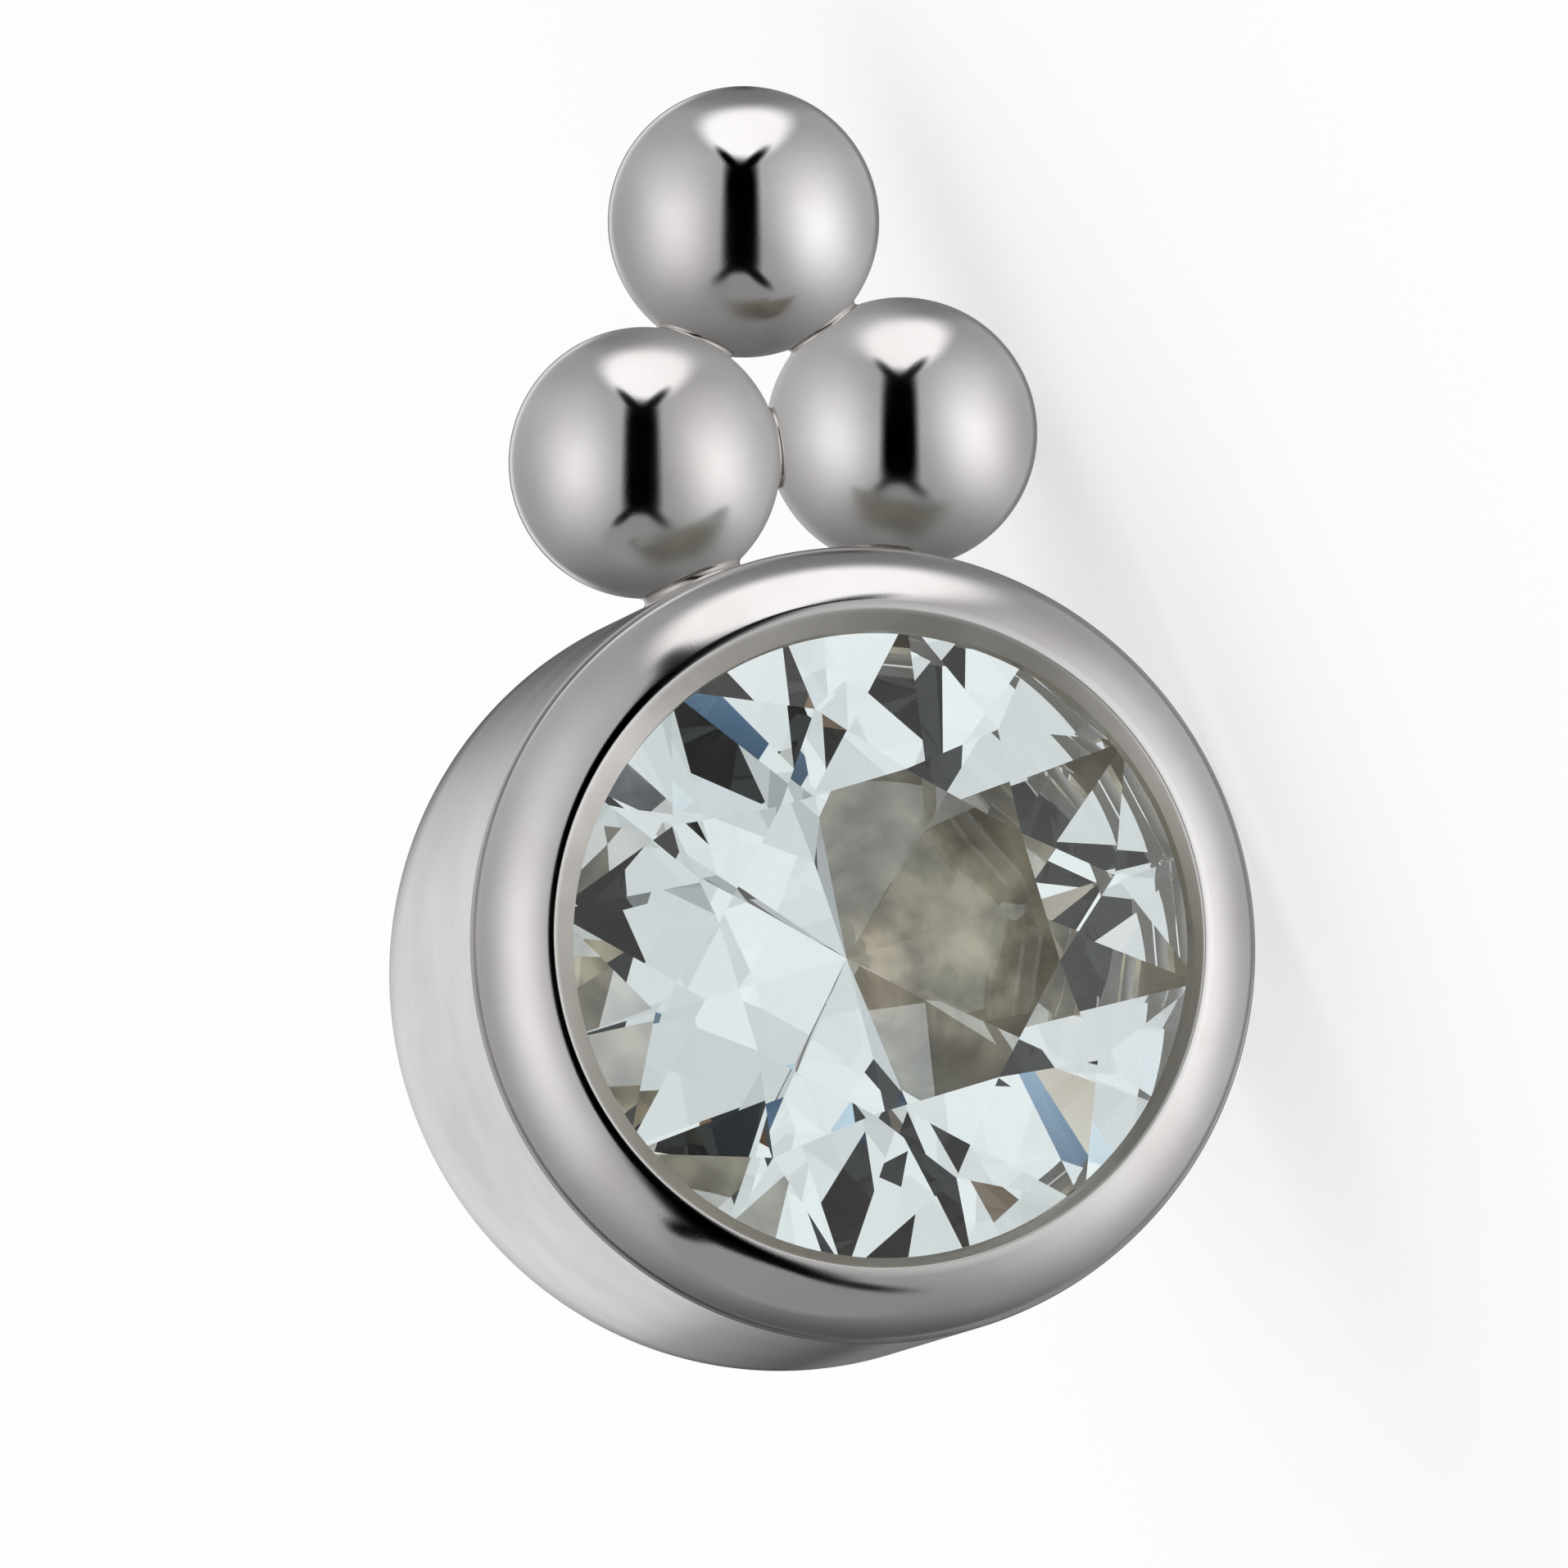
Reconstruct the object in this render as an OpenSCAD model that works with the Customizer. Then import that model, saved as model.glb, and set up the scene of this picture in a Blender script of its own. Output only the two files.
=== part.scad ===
// Threaded top for a body piercing: a deep round drum with a bezel-set cut stone, three beads
// soldered in a triangle on its side, and a threaded pin screwed into its flat back.
// It is drawn lying by itself on the side of the drum and one bead, with the stone facing -Y.

/* [Drum] */
// Outer diameter of the drum
drum_d = 5; // [4.8:0.1:5.4]
// Height of the drum, from its flat back to the crest of its lip
drum_h = 3.54; // [3.5:0.02:3.9]
// How far the rolled lip comes in from the wall to its crest
lip_w = 0.38; // [0.34:0.01:0.4]
// Height over which the wall rolls into the lip
lip_h = 0.88; // [0.7:0.02:1]
// Depth of the bevel from the lip's crest down to the stone
bevel_h = 0.2; // [0.16:0.01:0.24]
// How far the bevel runs inwards from the crest
bevel_w = 0.14; // [0.12:0.01:0.15]
// Round on the crest's inner edge
crest_round = 0.06; // [0.04:0.01:0.08]
// Round on the edge of the flat back
back_round = 0.05; // [0.03:0.01:0.08]

/* [Stone] */
// Wall of the drum around the stone's edge
stone_wall = 0.44; // [0.42:0.01:0.46]
// Width of the stone's table as a share of its own diameter
table_share = 0.52; // [0.48:0.01:0.56]
// Height of the crown, from the stone's edge to its table
crown_h = 0.4; // [0.34:0.02:0.6]
// Depth of the pavilion as a share of the stone's radius
pavilion_share = 0.84; // [0.8:0.01:0.88]
// Thickness of the stone's edge, its girdle
girdle_h = 0.08; // [0.06:0.01:0.12]
// Turn of the stone in its seat
stone_turn = 32.5; // [0:0.5:45]
// How far the setter's cut sits off the drum's middle, sideways
seat_x = 0.05; // [0:0.01:0.06]
// How far the setter's cut sits off the drum's middle, away from the beads
seat_y = -0.05; // [-0.06:0.01:0]

/* [Beads] */
// Diameter of each bead
bead_d = 1.71; // [1.6:0.01:1.76]
// Height of the beads' middles above the flat back
bead_z = 2.19; // [2.1:0.01:2.3]
// Depth to which a bead is soldered into its neighbour
bead_sink = 0.048; // [0.04:0.002:0.06]
// Depth to which a lower bead is soldered into the drum
drum_sink = 0.03; // [0.024:0.002:0.04]
// Waist of the solder between two beads, as a share of a bead's radius
bead_solder = 0.31; // [0.29:0.01:0.34]
// Waist of the solder between a bead and the drum, as a share of a bead's radius
drum_solder = 0.38; // [0.36:0.01:0.42]

/* [Pin] */
// Outer diameter of the pin's thread
pin_d = 1.2; // [1.1:0.05:1.2]
// Length of the pin outside the drum
pin_l = 2.7; // [2.6:0.1:2.9]
// Distance from one turn of the thread to the next
pitch = 0.25; // [0.24:0.01:0.26]
// Length of the hidden end of the pin inside the drum
pin_root = 0.8; // [0.6:0.05:0.9]
// Radius of the round at the pin's tip
tip_round = 0.33; // [0.3:0.01:0.34]

/* [Hidden] */
$fn = 96;
// Overrun of a cut past a face, the gap between pieces, and the room left where nothing touches
nudge = 0.01;
gap = 0.025;
room = 3 * gap;

// Drum: its radii and heights, and the angle at which the bevel meets the crest's round
drum_r = drum_d / 2;
crest_r = drum_r - lip_w;
wall_h = drum_h - lip_h;
edge_r = drum_r - back_round;
stone_r = drum_r - stone_wall;
opening_r = crest_r - bevel_w;
opening_z = drum_h - bevel_h;
bevel_tilt = 205;
table_r = stone_r * table_share;
bead_r = bead_d / 2;
pin_r = pin_d / 2;

// Stone: heights of its girdle, table and point, and the ring where its kites meet.
// The lip holds the crown just inside the girdle, a gap above the steepest facets.
facets = 8;
half_step = 180 / facets;
kite_share = 0.56;
kite_r = table_r + (stone_r - table_r) * kite_share;
crown_fall = crown_h / (stone_r - table_r);
kite_drop = (kite_r * cos(half_step) - table_r) * crown_fall;
edge_rise = (crown_h - kite_drop) / (stone_r - kite_r);
girdle_top = opening_z - (stone_r - opening_r) * edge_rise - 2 * gap;
girdle_bottom = girdle_top - girdle_h;
table_z = girdle_top + crown_h;
culet_z = girdle_bottom - stone_r * pavilion_share;
seat_flat = room;
lower_share = 0.25;
lower_r = stone_r * lower_share;
lower_z = culet_z + lower_r * cos(half_step) * pavilion_share;

// Beads: two beside each other on the drum, and the third above them; half-lengths of the posts
// of solder, and their hollow and rim as shares of their waist
bead_gap = bead_r - bead_sink / 2;
bead_reach = drum_r + bead_r - drum_sink;
bead_lean = asin(bead_gap / bead_reach);
low_y = bead_reach * cos(bead_lean);
top_y = low_y + bead_gap * sqrt(3);
bead_post = bead_r * 0.12;
drum_post = bead_r * 0.14;
hollow_share = 0.9;
post_rim = 0.2;
bead_places = [
    [-bead_gap, low_y, bead_z],
    [bead_gap, low_y, bead_z],
    [0, top_y, bead_z]
];

// Pin: stretches along it, measured from the flat back towards the tip. The thread is as deep as
// a metric thread's root, and a shallow relief in the flat back clears its first turn.
neck_start = pin_l * 0.17;
collar_z = pin_l * 0.46;
collar_h = pitch * 0.3;
neck_r = pin_r * 0.975;
core_r = pin_r - pitch * 0.6134;
foot_r = core_r - gap;
thread_end = pin_l - tip_round * 1.2;
tip_r = pin_r - tip_round;
nib_r = pin_r * 0.24;
nib_groove = pin_r * 0.14;
root_r = pin_r * 0.7;
bore_h = pin_root + room;
relief_h = 2 * gap;
thread_steps = 20;
ridge_h = pitch * 0.42;
crest_h = ridge_h * 0.18;
fade_rate = 4;

// How it lies: turned about the drum's axis until the wall and the right-hand bead stand on one
// level, with the origin under the middle of the whole piece
lie_turn = bead_lean + acos((drum_r - bead_r) / bead_reach);
lie_right = top_y * sin(lie_turn) + bead_r;
lie_front = max(drum_h, table_z);
lie_shift = [(drum_r - lie_right) / 2, (lie_front - pin_l) / 2, drum_r];

// Points of an arc with half-widths a and b, about [x, z]
function arc(x, z, a, b, start, end, steps) =
    [for (i = [0 : steps]) let (t = start + (end - start) * i / steps) [x + a * cos(t), z + b * sin(t)]];

module as_it_lies() {
    translate(lie_shift)
        rotate([90, 0, 0])
            rotate([0, 0, lie_turn - 180])
                children();
}

// Solid drum: round back edge, straight wall, rolled lip
module drum_blank() {
    rotate_extrude()
        polygon(concat(
            [[0, 0]],
            arc(edge_r, back_round, back_round, back_round, -90, 0, 4),
            arc(crest_r, wall_h, lip_w, lip_h, 0, 90, 16),
            [[0, drum_h]]
        ));
}

// Seat for the stone: room for its pavilion, its girdle and the edge of its crown, then the bevel
module stone_seat() {
    translate([seat_x, seat_y, 0])
        rotate_extrude()
            polygon(concat(
                [
                    [0, culet_z - room],
                    [seat_flat, culet_z - room],
                    [stone_r + gap, girdle_bottom - gap],
                    [stone_r + gap, girdle_top + gap],
                    [opening_r, opening_z]
                ],
                arc(crest_r, drum_h - crest_round, crest_round, crest_round, bevel_tilt, 90, 6),
                [[crest_r, drum_h + nudge], [0, drum_h + nudge]]
            ));
}

// Solder between two round surfaces: a short post with a hollow waist
module solder(from, to, waist) {
    way = to - from;
    length = norm(way);
    hollow = waist * hollow_share;
    translate(from)
        rotate([0, acos(way.z / length), atan2(way.y, way.x)])
            rotate_extrude()
                difference() {
                    square([waist + hollow * post_rim, length]);
                    translate([waist + hollow, length / 2])
                        circle(r = hollow);
                }
}

module bead_solder_at(a, b) {
    way = (b - a) / norm(b - a);
    touch = (a + b) / 2;
    solder(touch - way * bead_post, touch + way * bead_post, bead_r * bead_solder);
}

module drum_solder_at(bead) {
    out = [bead.x, bead.y, 0] / bead_reach;
    touch = out * drum_r + [0, 0, bead.z];
    solder(touch - out * drum_post, touch + out * drum_post, bead_r * drum_solder);
}

// Drum, beads and solder: one piece of polished metal
module setting() {
    color("silver")
        as_it_lies()
            difference() {
                union() {
                    drum_blank();
                    for (c = bead_places)
                        translate(c) sphere(r = bead_r);
                    for (i = [0 : 2])
                        bead_solder_at(bead_places[i], bead_places[(i + 1) % 3]);
                    for (i = [0 : 1])
                        drum_solder_at(bead_places[i]);
                }
                stone_seat();
                translate([0, 0, -nudge])
                    cylinder(r = root_r + gap, h = bore_h + nudge);
                translate([0, 0, -nudge])
                    cylinder(r = pin_r + gap, h = relief_h + nudge);
            }
}

// Corners of the cut stone on one level
function corners(r, z, count, turn) =
    [for (i = [0 : count - 1]) [r * cos(turn + i * 360 / count), r * sin(turn + i * 360 / count), z]];

// Round brilliant: point, lower joints, both rims of the girdle, kite joints and table
module stone() {
    rim = 2 * facets;
    points = concat(
        [[0, 0, culet_z]],
        corners(lower_r, lower_z, facets, half_step),
        corners(stone_r, girdle_bottom, rim, 0),
        corners(stone_r, girdle_top, rim, 0),
        corners(kite_r, table_z - kite_drop, facets, half_step),
        corners(table_r, table_z, facets, 0)
    );
    function lower(k) = 1 + k % facets;
    function under(i) = 1 + facets + i % rim;
    function over(i) = under(i) + rim;
    function kite(k) = 1 + facets + 2 * rim + k % facets;
    function top(k) = kite(k) + facets;
    sides = [0 : facets - 1];
    mains = [for (k = sides) [0, lower(k + facets - 1), under(2 * k), lower(k)]];
    lower_halves = [for (k = sides, i = [0, 1]) [under(2 * k + i), under(2 * k + i + 1), lower(k)]];
    girdle = [for (i = [0 : rim - 1]) [under(i), over(i), over(i + 1), under(i + 1)]];
    upper_halves = [for (k = sides, i = [0, 1]) [over(2 * k + i), kite(k), over(2 * k + i + 1)]];
    kites = [for (k = sides) [top(k), kite(k), over(2 * k), kite(k + facets - 1)]];
    stars = [for (k = sides) [top(k), top(k + 1), kite(k)]];
    table = [[for (k = sides) top(facets - 1 - k)]];
    color([0.86, 0.93, 0.95])
        as_it_lies()
            translate([seat_x, seat_y, 0])
                rotate([0, 0, stone_turn])
                    polyhedron(
                        points,
                        concat(mains, lower_halves, girdle, upper_halves, kites, stars, table)
                    );
}

// One cross-section of the thread's ridge at a turn of the helix; it fades out at both ends
function ridge_at(turn, turns) =
    let (
        fade = min(1, min(turn, turns - turn) * fade_rate),
        crest = core_r + (pin_r - core_r) * fade,
        z = turn * pitch,
        a = -turn * 360
    )
    [
        [foot_r * cos(a), foot_r * sin(a), z - ridge_h],
        [crest * cos(a), crest * sin(a), z - crest_h],
        [crest * cos(a), crest * sin(a), z + crest_h],
        [foot_r * cos(a), foot_r * sin(a), z + ridge_h]
    ];

// Helical ridge of a number of turns, one section every few degrees
module ridge(turns) {
    count = round(turns * thread_steps);
    points = [for (i = [0 : count], p = ridge_at(i / thread_steps, count / thread_steps)) p];
    sides = [for (i = [0 : count - 1], k = [0 : 3])
        [4 * i + k, 4 * i + 4 + k, 4 * i + 4 + (k + 1) % 4, 4 * i + (k + 1) % 4]];
    ends = [[0, 1, 2, 3], [for (k = [3 : -1 : 0]) 4 * count + k]];
    polyhedron(points, concat(sides, ends));
}

// Core of the pin: hidden root, short thread, plain neck, collar, long thread and round tip
module pin_core() {
    rotate_extrude()
        polygon(concat(
            [
                [0, pin_root],
                [root_r, pin_root],
                [root_r, -gap],
                [core_r, -gap],
                [core_r, -neck_start],
                [neck_r, -neck_start],
                [neck_r, -collar_z],
                [pin_r, -collar_z],
                [pin_r, -collar_z - collar_h],
                [core_r, -collar_z - collar_h],
                [core_r, -thread_end],
                [pin_r, -thread_end]
            ],
            arc(tip_r, tip_round - pin_l, tip_round, tip_round, 0, -90, 8),
            [
                [nib_r + nib_groove, -pin_l],
                [nib_r + nib_groove / 2, -pin_l + nib_groove / 2],
                [nib_r, -pin_l],
                [0, -pin_l]
            ]
        ));
}

module threaded_pin() {
    long_z = -collar_z - collar_h - ridge_h;
    long_turns = floor((thread_end + long_z - ridge_h) / pitch * thread_steps) / thread_steps;
    color("gray")
        as_it_lies() {
            pin_core();
            translate([0, 0, long_z])
                mirror([0, 0, 1])
                    ridge(long_turns);
            translate([0, 0, -gap - ridge_h])
                mirror([0, 0, 1])
                    ridge((neck_start - gap - 2 * ridge_h) / pitch);
        }
}

setting();
stone();
threaded_pin();
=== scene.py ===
"""Looks for a threaded piercing top: a bezel-set stone, three soldered beads and a threaded pin.

Every piece is drawn in the top's own frame, in millimetres: the drum's axis is Z, its flat back
lies at zero, the stone faces +Z and the beads stand on the wall towards +Y. Lying then lays each
finished mesh on the floor, in metres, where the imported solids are.
"""

import logging
import math
from dataclasses import dataclass, field, replace
from enum import Enum
from typing import Any, Iterable, Sequence

import bmesh
import bpy
import numpy as np
from bpy.types import Material, Mesh, Node, NodeSocket, NodeTree, Object, World
from mathutils import Matrix, Vector


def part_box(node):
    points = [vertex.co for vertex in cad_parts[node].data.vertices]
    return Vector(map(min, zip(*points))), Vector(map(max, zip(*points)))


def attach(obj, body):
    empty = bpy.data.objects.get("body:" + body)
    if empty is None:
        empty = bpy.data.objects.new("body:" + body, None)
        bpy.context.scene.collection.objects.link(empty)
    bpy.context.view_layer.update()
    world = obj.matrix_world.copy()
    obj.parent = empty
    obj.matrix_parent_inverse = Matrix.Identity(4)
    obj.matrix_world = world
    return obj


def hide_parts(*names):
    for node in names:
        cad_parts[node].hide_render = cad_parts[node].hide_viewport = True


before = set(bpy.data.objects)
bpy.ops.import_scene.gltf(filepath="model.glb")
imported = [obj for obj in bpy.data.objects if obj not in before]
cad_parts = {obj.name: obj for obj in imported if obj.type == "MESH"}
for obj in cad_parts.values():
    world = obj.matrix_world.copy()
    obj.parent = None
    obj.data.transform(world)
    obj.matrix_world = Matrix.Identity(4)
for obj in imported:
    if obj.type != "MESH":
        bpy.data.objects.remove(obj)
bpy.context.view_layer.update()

LOG = logging.getLogger("piercing_top")
MM = 0.001
PROFILE_ATTRIBUTE = "profile_mm"
# Rub at crests and edges: a lighter colour, partly wear and partly painted highlight
RUB_HIGHLIGHT_ATTRIBUTE = "rub_highlight"
DULL_ATTRIBUTE = "dull"
FULL_TURN = 2 * math.pi
# Power that turns a brightness as seen into light
DISPLAY_POWER = 2.2
Ring = np.ndarray
Point2 = tuple[float, float]
Point3 = tuple[float, float, float]


class Slot(Enum):
    """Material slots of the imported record."""

    POLISHED = "polished_titanium"
    MACHINED = "machined_titanium"
    CRYSTAL = "cut_crystal"


class Zone(Enum):
    """Finishes on the drum, by their place among its materials."""

    POLISHED = 0
    TURNED = 1
    SEAT = 2
    WALL = 3
    CUT = 4
    LEDGE = 5
    # Crease under the lip, coloured darker as painted shade
    CREASE = 6


# Nodes and colours


def linear(hex_colour: str) -> tuple[float, ...]:
    """Turn an sRGB colour into the linear one that shaders take.

    Args:
        hex_colour: Six hex digits, with or without a leading hash sign.

    Returns:
        Linear red, green and blue, and an alpha of one.
    """
    digits = hex_colour.lstrip("#")
    channels = [int(digits[i : i + 2], 16) / 255 for i in (0, 2, 4)]
    lin = [c / 12.92 if c <= 0.04045 else ((c + 0.055) / 1.055) ** 2.4 for c in channels]
    return lin[0], lin[1], lin[2], 1.0


def add_node(
    tree: NodeTree, kind: str, inputs: dict[Any, Any] | None = None, **settings: Any
) -> Node:
    """Add one node with its settings, its values and its links.

    Args:
        tree: Node tree that receives the node.
        kind: Blender's type name of the node.
        inputs: Values or output sockets for its inputs, by name or by index.
        settings: Properties of the node, set before its inputs.

    Returns:
        The new node.
    """
    node = tree.nodes.new(kind)
    for name, value in settings.items():
        setattr(node, name, value)
    for key, value in (inputs or {}).items():
        if isinstance(key, str):
            socket = next(s for s in node.inputs if s.name == key and s.enabled)
        else:
            socket = node.inputs[key]
        if isinstance(value, NodeSocket):
            tree.links.new(value, socket)
        else:
            socket.default_value = value
    return node


def clear_nodes(owner: Material | World) -> NodeTree:
    """Turn on the nodes of a material or a world, and start from none.

    Args:
        owner: New material or world.

    Returns:
        Its empty node tree.
    """
    owner.use_nodes = True
    owner.node_tree.nodes.clear()
    return owner.node_tree


# Meshes


def circle(radius: Any, height: Any, count: int, centre: Point2 = (0.0, 0.0)) -> Ring:
    """Points of a level ring, seen from the drum's own axis.

    Args:
        radius: Radius about the centre, one number or one for each point.
        height: Height of the ring, one number or one for each point.
        count: Number of points round the ring.
        centre: Where the ring's middle lies off the drum's axis.

    Returns:
        Array of points, at equal steps of the angle about the drum's axis, not the centre.
    """
    angle = np.arange(count) * FULL_TURN / count
    cos, sin = np.cos(angle), np.sin(angle)
    along = centre[0] * cos + centre[1] * sin
    off = centre[0] ** 2 + centre[1] ** 2
    reach = along + np.sqrt(np.square(radius) - off + along**2)
    return np.stack([reach * cos, reach * sin, np.broadcast_to(height, count)], axis=1)


@dataclass
class Shell:
    """Closed skin lofted through rings of equal count, between a first and a last point."""

    start: Sequence[float]
    end: Sequence[float]
    rings: list[Ring] = field(default_factory=list)
    zones: list[Zone] = field(default_factory=list)
    rub_highlights: list[float] = field(default_factory=list)

    def add(self, ring: Ring, zone: Zone = Zone.POLISHED, rub_highlight: float = 0.0) -> None:
        """Add a ring to the loft.

        Args:
            ring: Points of the ring.
            zone: Finish of the faces that lead to it.
            rub_highlight: How rubbed it is, and so how much lighter as a painted highlight, from
                zero to one.
        """
        self.rings.append(ring)
        self.zones.append(zone)
        self.rub_highlights.append(rub_highlight)

    def mesh(self, name: str) -> Mesh:
        """Join the rings into a mesh with outward faces.

        Args:
            name: Name of the mesh.

        Returns:
            The mesh, with its length along the profile and its rub, a painted highlight too, kept
            at every point.
        """
        count = len(self.rings[0])
        points = np.vstack([[self.start], *self.rings, [self.end]])
        last = len(points) - 1
        faces: list[tuple[int, ...]] = []
        marks: list[int] = []
        for k, zone in enumerate(self.zones):
            low = 1 + (k - 1) * count
            for i in range(count):
                j = (i + 1) % count
                high = 1 + k * count
                if k == 0:
                    faces.append((0, high + j, high + i))
                else:
                    faces.append((low + i, low + j, high + j, high + i))
                marks.append(zone.value)
        top = 1 + (len(self.rings) - 1) * count
        for i in range(count):
            faces.append((top + i, top + (i + 1) % count, last))
            marks.append(self.zones[-1].value)
        mesh = bpy.data.meshes.new(name)
        mesh.from_pydata(points.tolist(), [], faces)
        mesh.polygons.foreach_set("material_index", marks)
        steps = [0.0] + [
            float(np.linalg.norm(b - a, axis=1).mean()) for a, b in zip(self.rings, self.rings[1:])
        ]
        lengths = np.cumsum(steps)
        keep(mesh, PROFILE_ATTRIBUTE, [0.0, *np.repeat(lengths, count), lengths[-1]])
        keep(mesh, RUB_HIGHLIGHT_ATTRIBUTE, [0.0, *np.repeat(self.rub_highlights, count), 0.0])
        return mesh


def keep(mesh: Mesh, name: str, values: Iterable[float]) -> None:
    """Keep one number at every point of a mesh."""
    attribute = mesh.attributes.new(name, "FLOAT", "POINT")
    attribute.data.foreach_set("value", np.array(list(values), np.float32))


def finish_mesh(mesh: Mesh, crease: float) -> None:
    """Turn a mesh's faces outwards and shade it smooth up to its creases.

    Args:
        mesh: Closed mesh to finish.
        crease: Angle in degrees above which an edge stays sharp.
    """
    work = bmesh.new()
    work.from_mesh(mesh)
    bmesh.ops.recalc_face_normals(work, faces=work.faces)
    work.to_mesh(mesh)
    work.free()
    mesh.shade_smooth()
    mesh.set_sharp_from_angle(angle=math.radians(crease))


def new_object(name: str, mesh: Mesh) -> Object:
    """Put a mesh in the scene as an object at the origin.

    Args:
        name: Name of the object.
        mesh: Its mesh.

    Returns:
        The new object.
    """
    piece = bpy.data.objects.new(name, mesh)
    bpy.context.scene.collection.objects.link(piece)
    return piece


def arc(centre: Point2, half: Point2, start: float, end: float, count: int) -> list[Point2]:
    """Points of an arc in the profile's plane.

    Args:
        centre: Radius and height of the arc's middle.
        half: Half-widths of the arc across and along the axis.
        start: First angle, in degrees.
        end: Last angle, in degrees.
        count: Number of steps.

    Returns:
        Radius and height of each point, both ends with it.
    """
    angles = np.radians(np.linspace(start, end, count + 1))
    return [(centre[0] + half[0] * math.cos(a), centre[1] + half[1] * math.sin(a)) for a in angles]


# Finishes


@dataclass(frozen=True)
class Metal:
    """Solid titanium alloy, warm grey and bright, as its last tool left it.

    The scales are real sizes in millimetres: the cloudy patches that a cloth leaves, the soft
    swell of the skin, the length and width of single hairlines, and the spacing of a lathe's
    lines along the profile. The pairs of roughness are those of the clearest and the cloudiest
    patches, and dull_roughness is that of skin which no wheel reached.
    """

    name: str
    colour: str = "#DDDBDA"
    shaded: str = "#D2CFCE"
    # Lighter colour of rubbed skin, which also paints crest and edge highlights
    rub_highlight_colour: str = "#EBE9E8"
    roughness: Point2 = (0.05, 0.12)
    dull_roughness: float = 0.38
    cloud_mm: float = 0.9
    cloud_range: Point2 = (0.35, 0.65)
    swell_mm: float = 1.3
    swell_depth_mm: float = 0.0006
    hair_mm: float = 0.018
    hair_length_mm: float = 0.5
    hair_depth_mm: float = 0.00004
    hair_range: Point2 = (0.68, 0.76)
    hair_turns: tuple[Point3, ...] = ((0.3, 0.2, 0.9), (1.2, 0.7, 2.3))
    lathe_mm: float = 0.0
    lathe_depth_mm: float = 0.0

    def material(self) -> Material:
        """Build the metal's node material.

        Returns:
            The material, on Object coordinates and the numbers kept at the mesh's points.
        """
        made = bpy.data.materials.new(self.name)
        tree = clear_nodes(made)
        place = add_node(tree, "ShaderNodeTexCoord").outputs["Object"]
        cloud = add_node(
            tree, "ShaderNodeTexNoise",
            {"Vector": place, "Scale": 1 / (self.cloud_mm * MM), "Detail": 5.0},
        )
        clear, cloudy = self.cloud_range
        tone = add_node(
            tree, "ShaderNodeMapRange",
            {"Value": cloud.outputs["Fac"], "From Min": clear, "From Max": cloudy},
        ).outputs["Result"]
        rub_highlight, dull = (
            add_node(tree, "ShaderNodeAttribute", attribute_name=name).outputs["Fac"]
            for name in (RUB_HIGHLIGHT_ATTRIBUTE, DULL_ATTRIBUTE)
        )
        colour: Any = linear(self.colour)
        # Random cloudy tone, then the rub's lighter colour, a painted edge highlight
        for share, other in ((tone, self.shaded), (rub_highlight, self.rub_highlight_colour)):
            colour = add_node(
                tree, "ShaderNodeMix", {"Factor": share, 6: colour, 7: linear(other)},
                data_type="RGBA",
            ).outputs[2]
        rough: Any = self.roughness[0]
        for share, other in ((tone, self.roughness[1]), (dull, self.dull_roughness)):
            rough = add_node(
                tree, "ShaderNodeMapRange", {"Value": share, "To Min": rough, "To Max": other}
            ).outputs["Result"]
        shader = add_node(
            tree, "ShaderNodeBsdfPrincipled",
            {
                "Base Color": colour, "Metallic": 1.0, "Roughness": rough,
                "Normal": self._relief(tree, place),
            },
        )
        add_node(tree, "ShaderNodeOutputMaterial", {"Surface": shader.outputs["BSDF"]})
        return made

    def _relief(self, tree: NodeTree, place: NodeSocket) -> Any:
        """Add the surface's relief: soft swell, single hairlines and a lathe's lines.

        Args:
            tree: The material's node tree.
            place: Object coordinates.

        Returns:
            Socket of the bent normal.
        """
        swell = add_node(
            tree, "ShaderNodeTexNoise",
            {"Vector": place, "Scale": 1 / (self.swell_mm * MM), "Detail": 1.0},
        )
        # Height, depth and whether it is cut into the skin
        marks = [(swell.outputs["Fac"], self.swell_depth_mm, False)]
        thin, long = 1 / (self.hair_mm * MM), 1 / (self.hair_length_mm * MM)
        least, most = self.hair_range
        for turn in self.hair_turns:
            stretched = add_node(
                tree, "ShaderNodeMapping",
                {"Vector": place, "Rotation": turn, "Scale": (thin, long, thin)},
            )
            hair = add_node(
                tree, "ShaderNodeTexNoise",
                {"Vector": stretched.outputs["Vector"], "Scale": 1.0, "Detail": 0.0},
            )
            scratch = add_node(
                tree, "ShaderNodeMapRange",
                {"Value": hair.outputs["Fac"], "From Min": least, "From Max": most},
                interpolation_type="SMOOTHSTEP",
            )
            marks.append((scratch.outputs["Result"], self.hair_depth_mm, True))
        if self.lathe_mm:
            along = add_node(tree, "ShaderNodeAttribute", attribute_name=PROFILE_ATTRIBUTE)
            lines = add_node(
                tree, "ShaderNodeTexNoise",
                {"W": along.outputs["Fac"], "Scale": 1 / self.lathe_mm, "Detail": 3.0},
                noise_dimensions="1D",
            )
            marks.append((lines.outputs["Fac"], self.lathe_depth_mm, False))
        bent: dict[str, Any] = {}
        for height, depth_mm, sunk in marks:
            bump = add_node(
                tree, "ShaderNodeBump", {"Height": height, "Distance": depth_mm * MM, **bent},
                invert=sunk,
            )
            bent = {"Normal": bump.outputs["Normal"]}
        return bent["Normal"]


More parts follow.
